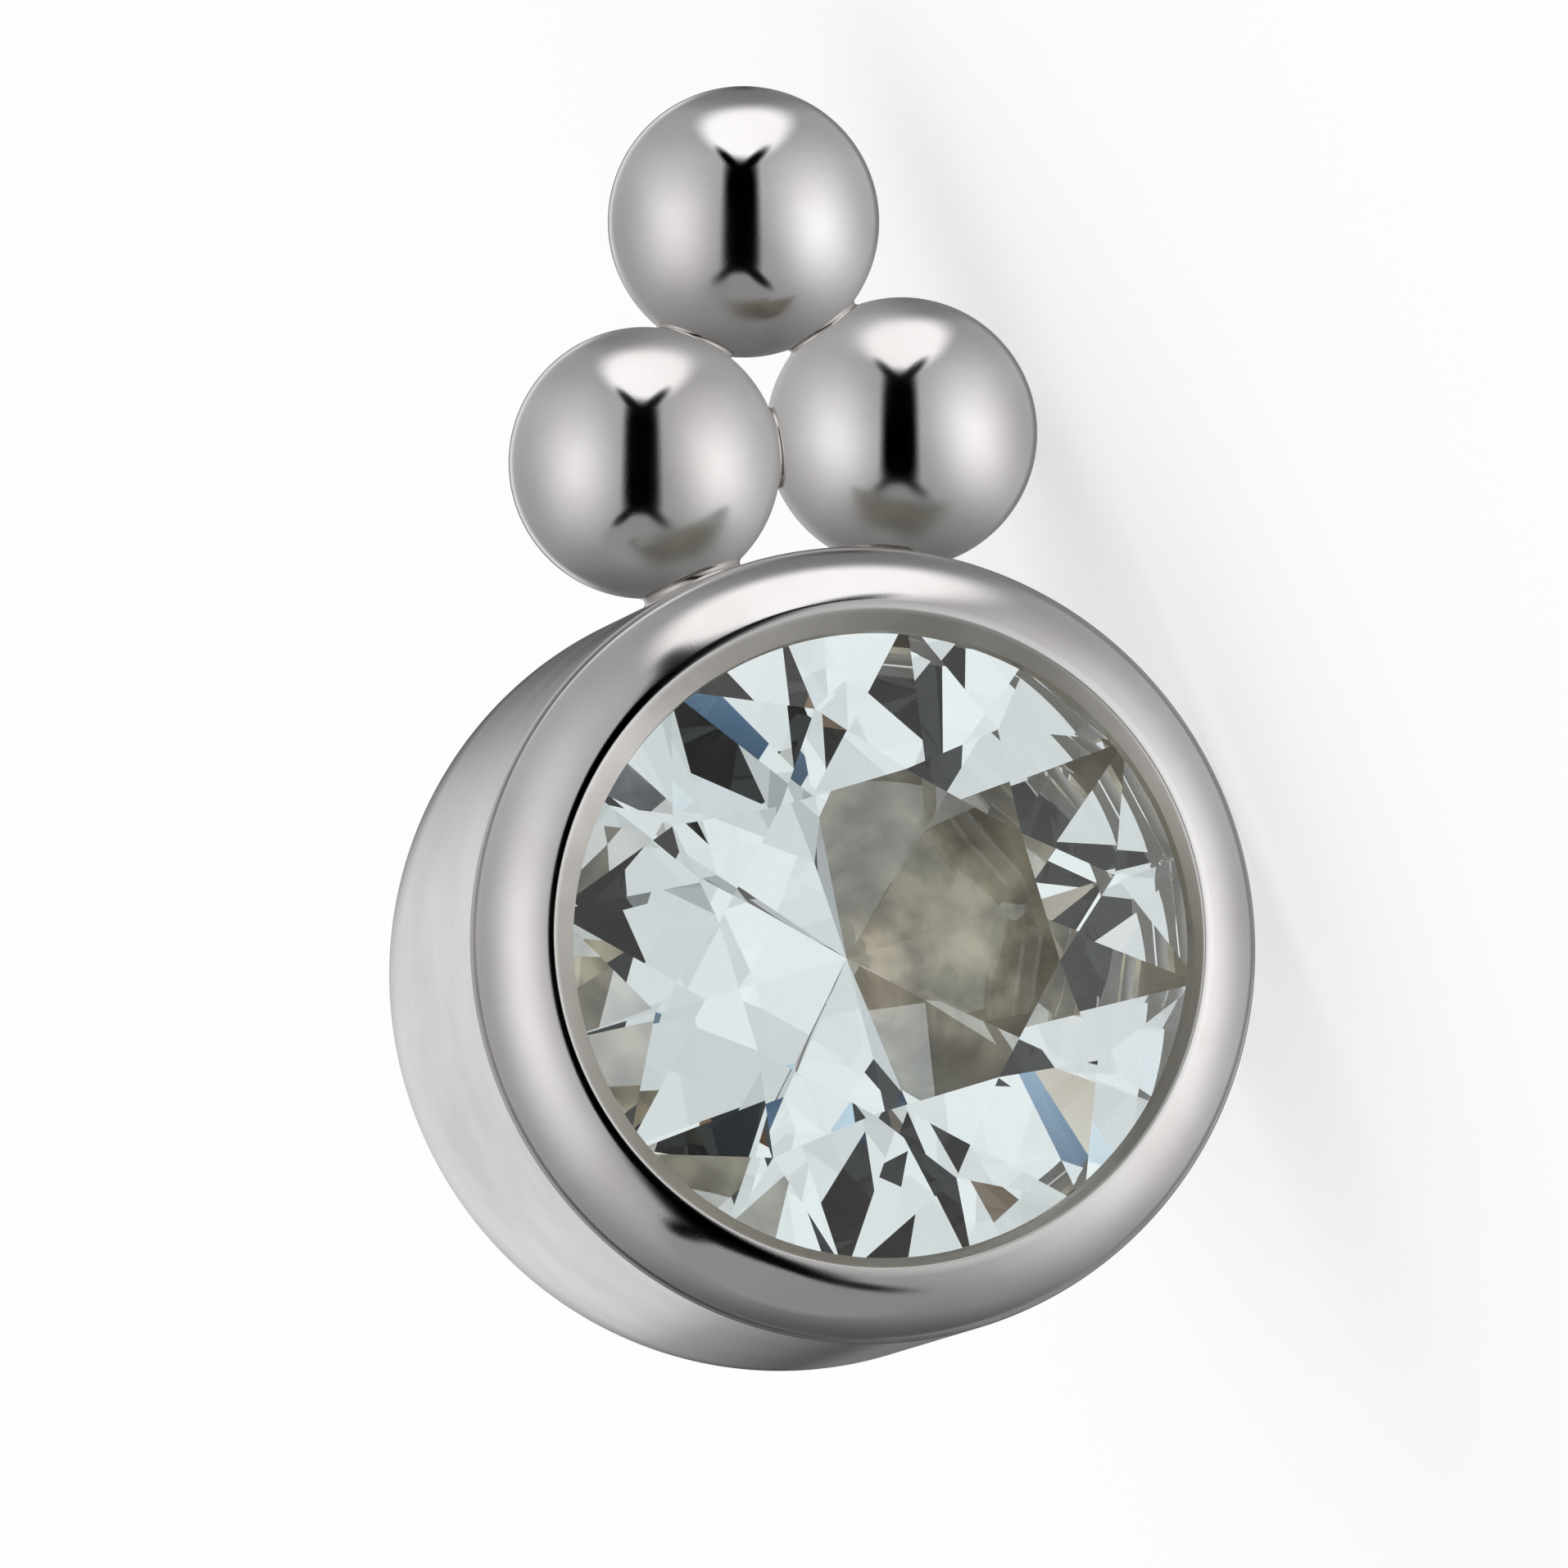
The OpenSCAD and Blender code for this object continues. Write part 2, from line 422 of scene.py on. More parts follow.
@dataclass(frozen=True)
class Crystal:
    """Cut and polished lead crystal glass: clear, faintly blue, with a hint of polishing haze."""

    name: str = "cut crystal glass"
    tint: str = "#F7FBFD"
    refraction: float = 1.565
    haze: Point2 = (0.0, 0.012)
    haze_mm: float = 0.35
    haze_range: Point2 = (0.45, 0.75)

    def material(self) -> Material:
        """Build the glass material.

        Returns:
            The material, on Object coordinates.
        """
        made = bpy.data.materials.new(self.name)
        tree = clear_nodes(made)
        place = add_node(tree, "ShaderNodeTexCoord").outputs["Object"]
        marks = add_node(
            tree, "ShaderNodeTexNoise",
            {"Vector": place, "Scale": 1 / (self.haze_mm * MM), "Detail": 4.0},
        )
        haze = add_node(
            tree, "ShaderNodeMapRange",
            {
                "Value": marks.outputs["Fac"], "From Min": self.haze_range[0],
                "From Max": self.haze_range[1], "To Min": self.haze[0], "To Max": self.haze[1],
            },
        )
        shader = add_node(
            tree, "ShaderNodeBsdfPrincipled",
            {
                "Base Color": linear(self.tint), "Roughness": haze.outputs["Result"],
                "IOR": self.refraction, "Transmission Weight": 1.0,
            },
        )
        add_node(tree, "ShaderNodeOutputMaterial", {"Surface": shader.outputs["BSDF"]})
        return made


# Titanium buffed to a mirror: sharp reflections, faint cloth haze and a few hairlines
POLISHED = Metal("polished titanium", lathe_mm=0.03, lathe_depth_mm=0.000004)
# The same metal beside a flame-soldered joint, a little duller than what the wheel reached
SOLDERED = Metal("soldered titanium", "#C9C4C1", "#B4AEAB", roughness=(0.14, 0.24))
# Flat back, faced on a lathe and lightly polished: rings of fine tool lines
TURNED = Metal("turned titanium", roughness=(0.16, 0.22), lathe_mm=0.035, lathe_depth_mm=0.00006)
# Seat under the stone, never polished: dull, darker metal that shows through the table
SEAT = Metal("unpolished titanium seat", "#DCCCAE", "#90826A", roughness=(0.35, 0.5), cloud_mm=0.4)
# Drum's wall, turned and then buffed across: softer than the lip, without sharp reflections
WALL = Metal(
    "buffed titanium", roughness=(0.12, 0.16), swell_depth_mm=0.0002, hair_depth_mm=0.00001
)
# Setter's bevel, cut with a graver: greyer than the lip, in fine rings
CUT = Metal(
    "hand-cut titanium", "#D2CFCB", "#BFBCB7", roughness=(0.34, 0.44), lathe_mm=0.02,
    lathe_depth_mm=0.0002,
)
# Ledge round the stone's girdle, frosted by the same graver and bright through the glass
LEDGE = Metal("frosted titanium ledge", "#EAE7E2", "#D9D5CE", roughness=(0.45, 0.55))
# Crease between wall and lip, coloured darker as painted shade in the crease
CREASE = Metal("titanium crease in painted shade", "#A6A3A1", "#8B8886", roughness=(0.3, 0.4))
# Thread cut on a lathe and left as machined: darker, with streaks along the cut
MACHINED = Metal(
    "machined titanium", "#B9B6B4", "#9E9B99", roughness=(0.12, 0.24), lathe_mm=0.02,
    lathe_depth_mm=0.00015,
)


# Repeats


def start_tree(name: str, inputs: dict[str, str]) -> tuple[NodeTree, Any]:
    """Start a geometry node tree with named inputs and one geometry output.

    Args:
        name: Name of the tree.
        inputs: Socket type of each input, by the input's name.

    Returns:
        The tree, and the sockets of its inputs.
    """
    tree = bpy.data.node_groups.new(name, "GeometryNodeTree")
    for label, kind in inputs.items():
        tree.interface.new_socket(label, in_out="INPUT", socket_type=kind)
    tree.interface.new_socket("Geometry", in_out="OUTPUT", socket_type="NodeSocketGeometry")
    return tree, add_node(tree, "NodeGroupInput").outputs


def end_tree(tree: NodeTree, shape: Any, finish: Any) -> None:
    """End a geometry node tree with real faces in one material.

    Args:
        tree: Tree to end.
        shape: Socket of the geometry.
        finish: Socket of the material.
    """
    real = add_node(tree, "GeometryNodeRealizeInstances", {"Geometry": shape})
    dressed = add_node(
        tree, "GeometryNodeSetMaterial", {"Geometry": real.outputs[0], "Material": finish}
    )
    add_node(tree, "NodeGroupOutput", {"Geometry": dressed.outputs[0]})


@dataclass
class RoundRepeat:
    """Geometry nodes that repeat a mesh at equal steps round the Z axis."""

    count: int

    def tree(self) -> NodeTree:
        """Build the node tree.

        Returns:
            A tree with inputs for the mesh, the count and the material.
        """
        tree, given = start_tree(
            "repeat round the axis",
            {
                "Geometry": "NodeSocketGeometry",
                "Count": "NodeSocketInt",
                "Material": "NodeSocketMaterial",
            },
        )
        points = add_node(tree, "GeometryNodePoints", {"Count": given["Count"]})
        step = add_node(
            tree, "ShaderNodeMath", {0: FULL_TURN, 1: given["Count"]}, operation="DIVIDE"
        )
        index = add_node(tree, "GeometryNodeInputIndex")
        angle = add_node(
            tree, "ShaderNodeMath", {0: index.outputs[0], 1: step.outputs[0]}, operation="MULTIPLY"
        )
        turn = add_node(
            tree, "FunctionNodeAxisAngleToRotation",
            {"Axis": (0.0, 0.0, 1.0), "Angle": angle.outputs[0]},
        )
        copies = add_node(
            tree, "GeometryNodeInstanceOnPoints",
            {
                "Points": points.outputs[0], "Instance": given["Geometry"],
                "Rotation": turn.outputs[0],
            },
        )
        end_tree(tree, copies.outputs[0], given["Material"])
        return tree

    def apply(self, mesh: Mesh, finish: Material) -> Mesh:
        """Repeat a mesh and return the plain result."""
        return run_nodes(mesh, self.tree(), {"Count": self.count, "Material": finish})


def run_nodes(mesh: Mesh, tree: NodeTree, values: dict[str, Any]) -> Mesh:
    """Run a geometry node tree on a mesh.

    Args:
        mesh: Mesh that the tree starts from.
        tree: Tree to run.
        values: The tree's inputs, by name.

    Returns:
        The result as a plain mesh.
    """
    helper = new_object(mesh.name, mesh)
    if not mesh.materials:
        mesh.materials.append(values.get("Material"))
    modifier = helper.modifiers.new(tree.name, "NODES")
    modifier.node_group = tree
    for socket in tree.interface.items_tree:
        if socket.in_out == "INPUT" and socket.name in values:
            modifier[socket.identifier] = values[socket.name]
    return plain_mesh(helper)


def plain_mesh(helper: Object) -> Mesh:
    """Take an object's finished mesh and drop the object with its modifiers.

    Args:
        helper: Object whose modifiers are still live.

    Returns:
        The evaluated mesh on its own.
    """
    shown = helper.evaluated_get(bpy.context.evaluated_depsgraph_get())
    result = bpy.data.meshes.new_from_object(shown)
    result.name = helper.name
    helper.modifiers.clear()
    bpy.data.objects.remove(helper)
    return result


@dataclass
class Thread:
    """Geometry nodes that wind one right-handed ridge round the Z axis and join it to a core."""

    foot: float
    crest: float
    pitch: float
    foot_width: float
    crest_width: float
    steps: int = 72
    fade_turns: float = 0.3

    def tree(self) -> NodeTree:
        """Build the node tree.

        Returns:
            A tree with inputs for the core, the ridge's sizes, its start and its material.
        """
        sizes = (
            "Foot Radius", "Crest Radius", "Pitch", "Foot Width", "Crest Width", "Turns", "Start",
            "Fade Turns",
        )
        tree, given = start_tree(
            "thread",
            {
                "Core": "NodeSocketGeometry",
                **dict.fromkeys(sizes, "NodeSocketFloat"),
                "Material": "NodeSocketMaterial",
            },
        )
        rise = add_node(
            tree, "ShaderNodeMath", {0: given["Pitch"], 1: given["Turns"]}, operation="MULTIPLY"
        )
        path = add_node(
            tree, "GeometryNodeCurveSpiral",
            {
                "Resolution": self.steps, "Rotations": given["Turns"],
                "Start Radius": given["Foot Radius"], "End Radius": given["Foot Radius"],
                "Height": rise.outputs[0],
            },
        )
        upright = add_node(
            tree, "GeometryNodeSetCurveNormal", {"Curve": path.outputs[0]}, mode="Z_UP"
        )
        depth = add_node(
            tree, "ShaderNodeMath", {0: given["Crest Radius"], 1: given["Foot Radius"]},
            operation="SUBTRACT",
        )
        section = add_node(
            tree, "GeometryNodeCurvePrimitiveQuadrilateral",
            {
                "Height": depth.outputs[0], "Bottom Width": given["Foot Width"],
                "Top Width": given["Crest Width"], "Offset": 0.0,
            },
            mode="TRAPEZOID",
        )
        half = add_node(tree, "ShaderNodeMath", {0: depth.outputs[0], 1: 0.5}, operation="MULTIPLY")
        shift = add_node(tree, "ShaderNodeCombineXYZ", {"Y": half.outputs[0]})
        raised = add_node(
            tree, "GeometryNodeTransform",
            {"Geometry": section.outputs[0], "Translation": shift.outputs[0]},
        )
        outward = add_node(
            tree, "GeometryNodeTransform",
            {"Geometry": raised.outputs[0], "Rotation": (0.0, 0.0, math.pi / 2)},
        )
        ridge = add_node(
            tree, "GeometryNodeCurveToMesh",
            {
                "Curve": upright.outputs[0], "Profile Curve": outward.outputs[0],
                "Scale": self._fade(tree, given), "Fill Caps": True,
            },
        )
        start = add_node(tree, "ShaderNodeCombineXYZ", {"Z": given["Start"]})
        placed = add_node(
            tree, "GeometryNodeTransform",
            {"Geometry": ridge.outputs[0], "Translation": start.outputs[0]},
        )
        joined = add_node(tree, "GeometryNodeJoinGeometry", {"Geometry": given["Core"]})
        tree.links.new(placed.outputs[0], joined.inputs[0])
        end_tree(tree, joined.outputs[0], given["Material"])
        return tree

    @staticmethod
    def _fade(tree: NodeTree, given: Any) -> Any:
        """Add the nodes that sink the ridge into the core at both of its ends.

        Args:
            tree: The thread's node tree.
            given: Sockets of its inputs.

        Returns:
            Socket of the section's size, from zero at an end to one.
        """
        along = add_node(tree, "GeometryNodeSplineParameter").outputs["Factor"]
        back = add_node(tree, "ShaderNodeMath", {0: 1.0, 1: along}, operation="SUBTRACT")
        near = add_node(tree, "ShaderNodeMath", {0: along, 1: back.outputs[0]}, operation="MINIMUM")
        turns = add_node(
            tree, "ShaderNodeMath", {0: near.outputs[0], 1: given["Turns"]}, operation="MULTIPLY"
        )
        share = add_node(
            tree, "ShaderNodeMath", {0: turns.outputs[0], 1: given["Fade Turns"]},
            operation="DIVIDE", use_clamp=True,
        )
        return share.outputs[0]

    def wind(self, core: Mesh, start: float, turns: float, finish: Material) -> Mesh:
        """Wind the ridge on a core.

        Args:
            core: Mesh that the ridge is joined to.
            start: Height of the ridge's lower end.
            turns: Number of turns upwards from there.
            finish: Material of core and ridge.

        Returns:
            Core and ridge as one plain mesh.
        """
        values = {
            "Foot Radius": self.foot, "Crest Radius": self.crest, "Pitch": self.pitch,
            "Foot Width": self.foot_width, "Crest Width": self.crest_width, "Turns": turns,
            "Start": start, "Fade Turns": self.fade_turns, "Material": finish,
        }
        return run_nodes(core, self.tree(), values)


# Pieces


@dataclass
class Drum:
    """Deep round drum: straight wall, rolled lip, the setter's bevel and the stone's seat."""

    radius: float = 2.5
    height: float = 3.54
    # Radius of each arc of the rolled lip, and how far its skin leans out at its two ends
    lip: tuple[Point3, ...] = ((0.61, 84.0, 25.0), (0.18, 25.0, 7.0))
    # How far inside the wall the lip starts
    shoulder: float = 0.026
    # Crease under the lip: how deep, and how far below the lip's start, each point lies
    crease: tuple[Point2, ...] = ((0.0, 0.045), (0.01, 0.022), (0.032, 0.01))
    crest_round: float = 0.015
    bevel_lean: float = 43.0
    bevel_height: float = 0.19
    opening_radius: float = 1.955
    back_round: float = 0.05
    # Rub along the back's rounded edge, and beside it, which paints a lighter highlight there too
    back_rub_highlight: Point2 = (0.8, 0.2)
    seat_shift: Point2 = (0.03, -0.034)
    gap: float = 0.025
    # Room under the stone's point
    culet_room: float = 0.075
    bore_radius: float = 0.445
    bore_depth: float = 0.875
    relief_radius: float = 0.625
    relief_depth: float = 0.05
    around: int = 288
    back_steps: int = 8
    wall_steps: int = 7
    # Share of the wall where its last ring stands, so that only its very edge is rounded
    wall_hold: float = 0.988
    lip_steps: int = 24
    crest_steps: int = 8
    bevel_steps: int = 6
    sharp_angle: float = 28.0

    @property
    def opening(self) -> Point2:
        """Radius and height of the bevel's inner edge, round the stone."""
        return self.opening_radius, self.height - self.bevel_height

    def _roll(self) -> list[Point2]:
        """Follow the rolled lip inwards, then turn sharply into the setter's bevel.

        Returns:
            Radius and height of each point, starting on the wall.
        """
        bends = [*self.lip, (self.crest_round, self.lip[-1][2], -self.bevel_lean)]
        points = [(0.0, 0.0)]
        for bend, first, last in bends:
            middle = (
                points[-1][0] - bend * math.sin(math.radians(first)),
                points[-1][1] - bend * math.cos(math.radians(first)),
            )
            steps = self.crest_steps if bend == self.crest_round else self.lip_steps
            points += arc(middle, (bend, bend), 90 - first, 90 - last, steps)[1:]
        rise = self.height - max(height for _, height in points)
        start = self.radius - self.shoulder
        return [(start + across, rise + height) for across, height in points]

    def _add_back(self, skin: Shell) -> None:
        """Loft the bore for the pin, its relief, the flat back and the back's rounded edge.

        Args:
            skin: Loft that the rings are added to.
        """
        edge = self.radius - self.back_round
        flat = (self.relief_radius + (edge - self.relief_radius) * k / 4 for k in (1, 2, 3))
        for radius, height in (
            (self.bore_radius, self.bore_depth),
            (self.bore_radius, self.relief_depth),
            (self.relief_radius, self.relief_depth),
            (self.relief_radius, 0.0),
            *((radius, 0.0) for radius in flat),
        ):
            skin.add(circle(radius, height, self.around), Zone.TURNED)
        rounded = (self.back_round, self.back_round)
        turn = arc((edge, self.back_round), rounded, -90, 0, self.back_steps)
        middle, beside = self.back_rub_highlight
        # The back's rounded edge is rubbed lighter, partly as a painted highlight
        for k, (radius, height) in enumerate(turn):
            zone = Zone.POLISHED if k else Zone.TURNED
            rub_highlight = middle if 2 < k < self.back_steps - 1 else beside
            skin.add(circle(radius, height, self.around), zone, rub_highlight)

    def _add_wall(self, skin: Shell, lip_start: float) -> None:
        """Loft the straight wall and the crease under the lip, whose faces take painted shade.

        Args:
            skin: Loft that the rings are added to.
            lip_start: Height at which the lip starts.
        """
        wall_top = lip_start - self.crease[0][1]
        shares = np.linspace(0, 1, self.wall_steps + 1)[1:-1]
        for share in (*shares, self.wall_hold, 1.0):
            height = self.back_round + (wall_top - self.back_round) * share
            skin.add(circle(self.radius, height, self.around), Zone.WALL)
        for k, (depth, below) in enumerate(self.crease[1:]):
            ring = circle(self.radius - depth, lip_start - below, self.around)
            # Faces in the crease take its darker colour, painted shade
            skin.add(ring, Zone.CREASE if k else Zone.WALL)

    def _add_lip(self, skin: Shell, roll: list[Point2]) -> None:
        """Loft the rolled lip up to its crest and over it, most rubbed at the crest, which paints
        it lighter as a highlight.

        Args:
            skin: Loft that the rings are added to.
            roll: Radius and height of each point of the lip.
        """
        crest = len(roll) - self.crest_steps
        for k, (radius, height) in enumerate(roll):
            # Lighter towards the crest, as rub and painted highlight
            rub_highlight = max(0.0, 1 - abs(k - crest) / self.lip_steps)
            zone = Zone.CUT if k > crest - 2 else Zone.POLISHED
            # The lip's first faces, in the crease, take its painted shade too
            skin.add(circle(radius, height, self.around), zone if k else Zone.CREASE, rub_highlight)

    def _add_bevel(self, skin: Shell, start: Point2) -> None:
        """Loft the setter's bevel and its short drop, easing over to the seat's own middle.

        Args:
            skin: Loft that the rings are added to.
            start: Radius and height of the bevel's outer edge.
        """
        end = self.opening[0] + self.gap / 2
        slope = math.tan(math.radians(self.bevel_lean))
        for share in np.linspace(0, 1, self.bevel_steps + 1)[1:]:
            radius = start[0] + (end - start[0]) * share
            height = start[1] - (start[0] - radius) * slope
            centre = (self.seat_shift[0] * share, self.seat_shift[1] * share)
            skin.add(circle(radius, height, self.around, centre), Zone.CUT)
        skin.add(circle(*self.opening, self.around, self.seat_shift), Zone.CUT)

    def shell(self, stone: "Stone") -> Shell:
        """Loft the drum's whole skin, from the bore for the pin to the bottom of the seat.

        Args:
            stone: Stone that the seat is cut for.

        Returns:
            The closed skin.
        """
        seat_low = stone.culet_height - self.culet_room
        skin = Shell((0.0, 0.0, self.bore_depth), (*self.seat_shift, seat_low))
        roll = self._roll()
        self._add_back(skin)
        self._add_wall(skin, roll[0][1])
        self._add_lip(skin, roll)
        self._add_bevel(skin, roll[-1])
        room = stone.radius + self.gap
        for radius, height, zone in (
            (room, stone.girdle_top + self.gap, Zone.LEDGE),
            (room, stone.girdle_bottom - self.gap, Zone.LEDGE),
            (self.culet_room, seat_low, Zone.SEAT),
        ):
            skin.add(circle(radius, height, self.around, self.seat_shift), zone)
        return skin

    def build(self, stone: "Stone") -> Object:
        """Make the drum and dress its zones.

        Args:
            stone: Stone that the seat is cut for.

        Returns:
            The drum in its own frame.
        """
        mesh = self.shell(stone).mesh("drum")
        finish_mesh(mesh, self.sharp_angle)
        for finish in (POLISHED, TURNED, SEAT, WALL, CUT, LEDGE, CREASE):
            mesh.materials.append(finish.material())
        piece = new_object("drum", mesh)
        # The photo shows no drum in the beads
        piece.visible_glossy = False
        return piece


@dataclass
class Stone:
    """Round brilliant in cut crystal, with an eight-sided table."""

    drum: Drum
    # Metal left round the girdle
    wall: float = 0.44
    # Shares of the radius: the table, the pavilion's depth and the ring where its mains meet
    table_share: float = 0.527
    pavilion_share: float = 0.85
    lower_share: float = 0.432
    # Share of the way from table to girdle at which the kites meet
    kite_share: float = 0.452
    crown: float = 0.4
    girdle: float = 0.08
    turn: float = 32.0
    facets: int = 8
    # Distance within which the sectors' points are one, and angle in degrees that is still flat
    weld: float = 0.0005
    flat_angle: float = 0.5

    @property
    def radius(self) -> float:
        """Radius of the girdle."""
        return self.drum.radius - self.wall

    @property
    def table_radius(self) -> float:
        """Radius of the table's corners."""
        return self.radius * self.table_share

    @property
    def kite_radius(self) -> float:
        """Radius of the ring where the kites meet."""
        return self.table_radius + (self.radius - self.table_radius) * self.kite_share

    @property
    def half_step(self) -> float:
        """Half the angle between two table corners, in radians."""
        return math.pi / self.facets

    @property
    def kite_drop(self) -> float:
        """Fall from the table to the ring where the kites meet."""
        fall = self.crown / (self.radius - self.table_radius)
        return (self.kite_radius * math.cos(self.half_step) - self.table_radius) * fall

    @property
    def girdle_top(self) -> float:
        """Height of the girdle's upper edge, just under the lip.

        Returns:
            The height over the flat back.
        """
        rise = (self.crown - self.kite_drop) / (self.radius - self.kite_radius)
        inner, height = self.drum.opening
        return height - (self.radius - inner) * rise - 2 * self.drum.gap

    @property
    def girdle_bottom(self) -> float:
        """Height of the girdle's lower edge."""
        return self.girdle_top - self.girdle

    @property
    def culet_height(self) -> float:
        """Height of the stone's point."""
        return self.girdle_bottom - self.radius * self.pavilion_share

    def sector(self) -> Mesh:
        """Cut one eighth of the stone, which repeats round its axis.

        Returns:
            The mesh of the sector's facets.
        """
        lower = self.radius * self.lower_share
        lower_height = self.culet_height + lower * math.cos(self.half_step) * self.pavilion_share
        table = self.girdle_top + self.crown

        def corner(radius: float, steps: int, height: float) -> Point3:
            """Corner of the cut, a number of half steps round from the sector's middle."""
            angle = steps * self.half_step
            return radius * math.cos(angle), radius * math.sin(angle), height

        points = {
            "culet": (0.0, 0.0, self.culet_height),
            "centre": (0.0, 0.0, table),
            "lower_a": corner(lower, -1, lower_height),
            "lower_b": corner(lower, 1, lower_height),
            "kite_a": corner(self.kite_radius, -1, table - self.kite_drop),
            "kite_b": corner(self.kite_radius, 1, table - self.kite_drop),
            "top": corner(self.table_radius, 0, table),
            "next_top": corner(self.table_radius, 2, table),
        }
        for k in range(3):
            points[f"under_{k}"] = corner(self.radius, k, self.girdle_bottom)
            points[f"over_{k}"] = corner(self.radius, k, self.girdle_top)
        facets = [
            ("culet", "lower_a", "under_0", "lower_b"),
            ("under_0", "under_1", "lower_b"),
            ("under_1", "under_2", "lower_b"),
            ("under_0", "over_0", "over_1", "under_1"),
            ("under_1", "over_1", "over_2", "under_2"),
            ("over_0", "kite_b", "over_1"),
            ("over_1", "kite_b", "over_2"),
            ("top", "kite_a", "over_0", "kite_b"),
            ("top", "kite_b", "next_top"),
            ("centre", "top", "next_top"),
        ]
        names = list(points)
        mesh = bpy.data.meshes.new("stone")
        mesh.from_pydata(
            list(points.values()), [], [[names.index(n) for n in facet] for facet in facets]
        )
        return mesh

    def build(self) -> Object:
        """Repeat the sector and weld the facets.

        Returns:
            The stone, turned and set in its seat.
        """
        mesh = RoundRepeat(self.facets).apply(self.sector(), Crystal().material())
        work = bmesh.new()
        work.from_mesh(mesh)
        bmesh.ops.remove_doubles(work, verts=work.verts, dist=self.weld)
        bmesh.ops.dissolve_limit(
            work, angle_limit=math.radians(self.flat_angle), verts=work.verts, edges=work.edges
        )
        bmesh.ops.recalc_face_normals(work, faces=work.faces)
        work.to_mesh(mesh)
        work.free()
        mesh.transform(
            Matrix.Translation((*self.drum.seat_shift, 0.0))
            @ Matrix.Rotation(math.radians(self.turn), 4, "Z")
        )
        return new_object("faceted_stone", mesh)


@dataclass
class Beads:
    """Three polished beads in a triangle, two soldered to the drum and the third to them."""

    drum: Drum
    radius: float = 0.855
    height: float = 2.19
    # How far the bodies run into each other, and radius of the solder's hollow at their joints
    sink: float = 0.048
    drum_sink: float = 0.03
    fillet: float = 0.02
    drum_fillet: float = 0.035
    fineness: int = 6
    around: int = 96
    steps: int = 8
    # Distances from the next body within which the wheel never, and just, reaches a bead
    unreached: Point2 = (0.1, 0.6)
    # Where the collar's hidden ends stand, as a share of the way to a bead's middle, and how
    # deep a foot's ends are sunk, as a share of the radius
    collar_end: float = 0.3
    foot_depth: float = 0.12
    # Rounds that find where a rolled ball touches both bead and drum
    rolling_rounds: int = 60
    sharp_angle: float = 50.0

    @property
    def half_space(self) -> float:
        """Half the distance between two beads' middles."""
        return self.radius - self.sink / 2

    @property
    def reach(self) -> float:
        """Distance of a lower bead's middle from the drum's axis."""
        return self.drum.radius + self.radius - self.drum_sink

    @property
    def lean(self) -> float:
        """Angle of a lower bead from the middle line, in radians."""
        return math.asin(self.half_space / self.reach)

    @property
    def low(self) -> float:
        """How far the lower beads stand out along Y."""
        return self.reach * math.cos(self.lean)

    @property
    def ring_radius(self) -> float:
        """Radius of the circle through the three middles."""
        return 2 * self.half_space / math.sqrt(3)

    @property
    def top(self) -> float:
        """How far the upper bead stands out along Y."""
        return self.low + self.half_space * math.sqrt(3)

    def _into_place(self) -> Matrix:
        """Move from the triangle's own middle to its place beside the drum."""
        return Matrix.Translation((0.0, self.top - self.ring_radius, self.height))

    def build(self) -> Object:
        """Turn the three beads.

        Returns:
            The beads as one piece.
        """
        work = bmesh.new()
        bmesh.ops.create_icosphere(work, subdivisions=self.fineness, radius=self.radius)
        bmesh.ops.translate(work, vec=(0.0, self.ring_radius, 0.0), verts=work.verts)
        ball = bpy.data.meshes.new("beads")
        work.to_mesh(ball)
        work.free()
        mesh = RoundRepeat(3).apply(ball, POLISHED.material())
        mesh.transform(self._into_place())
        keep(mesh, DULL_ATTRIBUTE, self._dullness(mesh))
        mesh.shade_smooth()
        piece = new_object("beads", mesh)
        # The photo shows no bead in its neighbours
        piece.visible_glossy = False
        return piece

    def _dullness(self, mesh: Mesh) -> np.ndarray:
        """Work out how little of the polishing wheel each point of the beads has seen.

        Args:
            mesh: The three beads, in the drum's frame.

        Returns:
            One where the next body is too near for the wheel, zero where it is far enough.
        """
        flat = np.empty(3 * len(mesh.vertices))
        mesh.vertices.foreach_get("co", flat)
        points = flat.reshape(-1, 3)
        third = (-self.half_space, self.low), (self.half_space, self.low), (0.0, self.top)
        middles = np.array([(*place, self.height) for place in third])
        to_beads = np.linalg.norm(points[:, None] - middles, axis=2)
        to_beads.sort(axis=1)
        to_drum = np.hypot(points[:, 0], points[:, 1]) - self.drum.radius
        nearest = np.minimum(to_beads[:, 1] - self.radius, to_drum)
        near, far = self.unreached
        share = np.clip((far - nearest) / (far - near), 0, 1)
        return share**2 * (3 - 2 * share)

    def build_solder(self) -> Object:
        """Run solder round the five joints.

        Returns:
            The solder as one piece: three collars between beads, two between beads and drum.
        """
        finish = SOLDERED.material()
        collars = RoundRepeat(3).apply(self._collar().mesh("solder"), finish)
        collars.transform(self._into_place())
        work = bmesh.new()
        work.from_mesh(collars)
        for side in (-1, 1):
            work.from_mesh(self._foot(side).mesh("solder foot"))
        bmesh.ops.recalc_face_normals(work, faces=work.faces)
        mesh = bpy.data.meshes.new("solder")
        work.to_mesh(mesh)
        work.free()
        finish_mesh(mesh, self.sharp_angle)
        mesh.materials.append(finish)
        piece = new_object("solder", mesh)
        piece.visible_glossy = False
        return piece

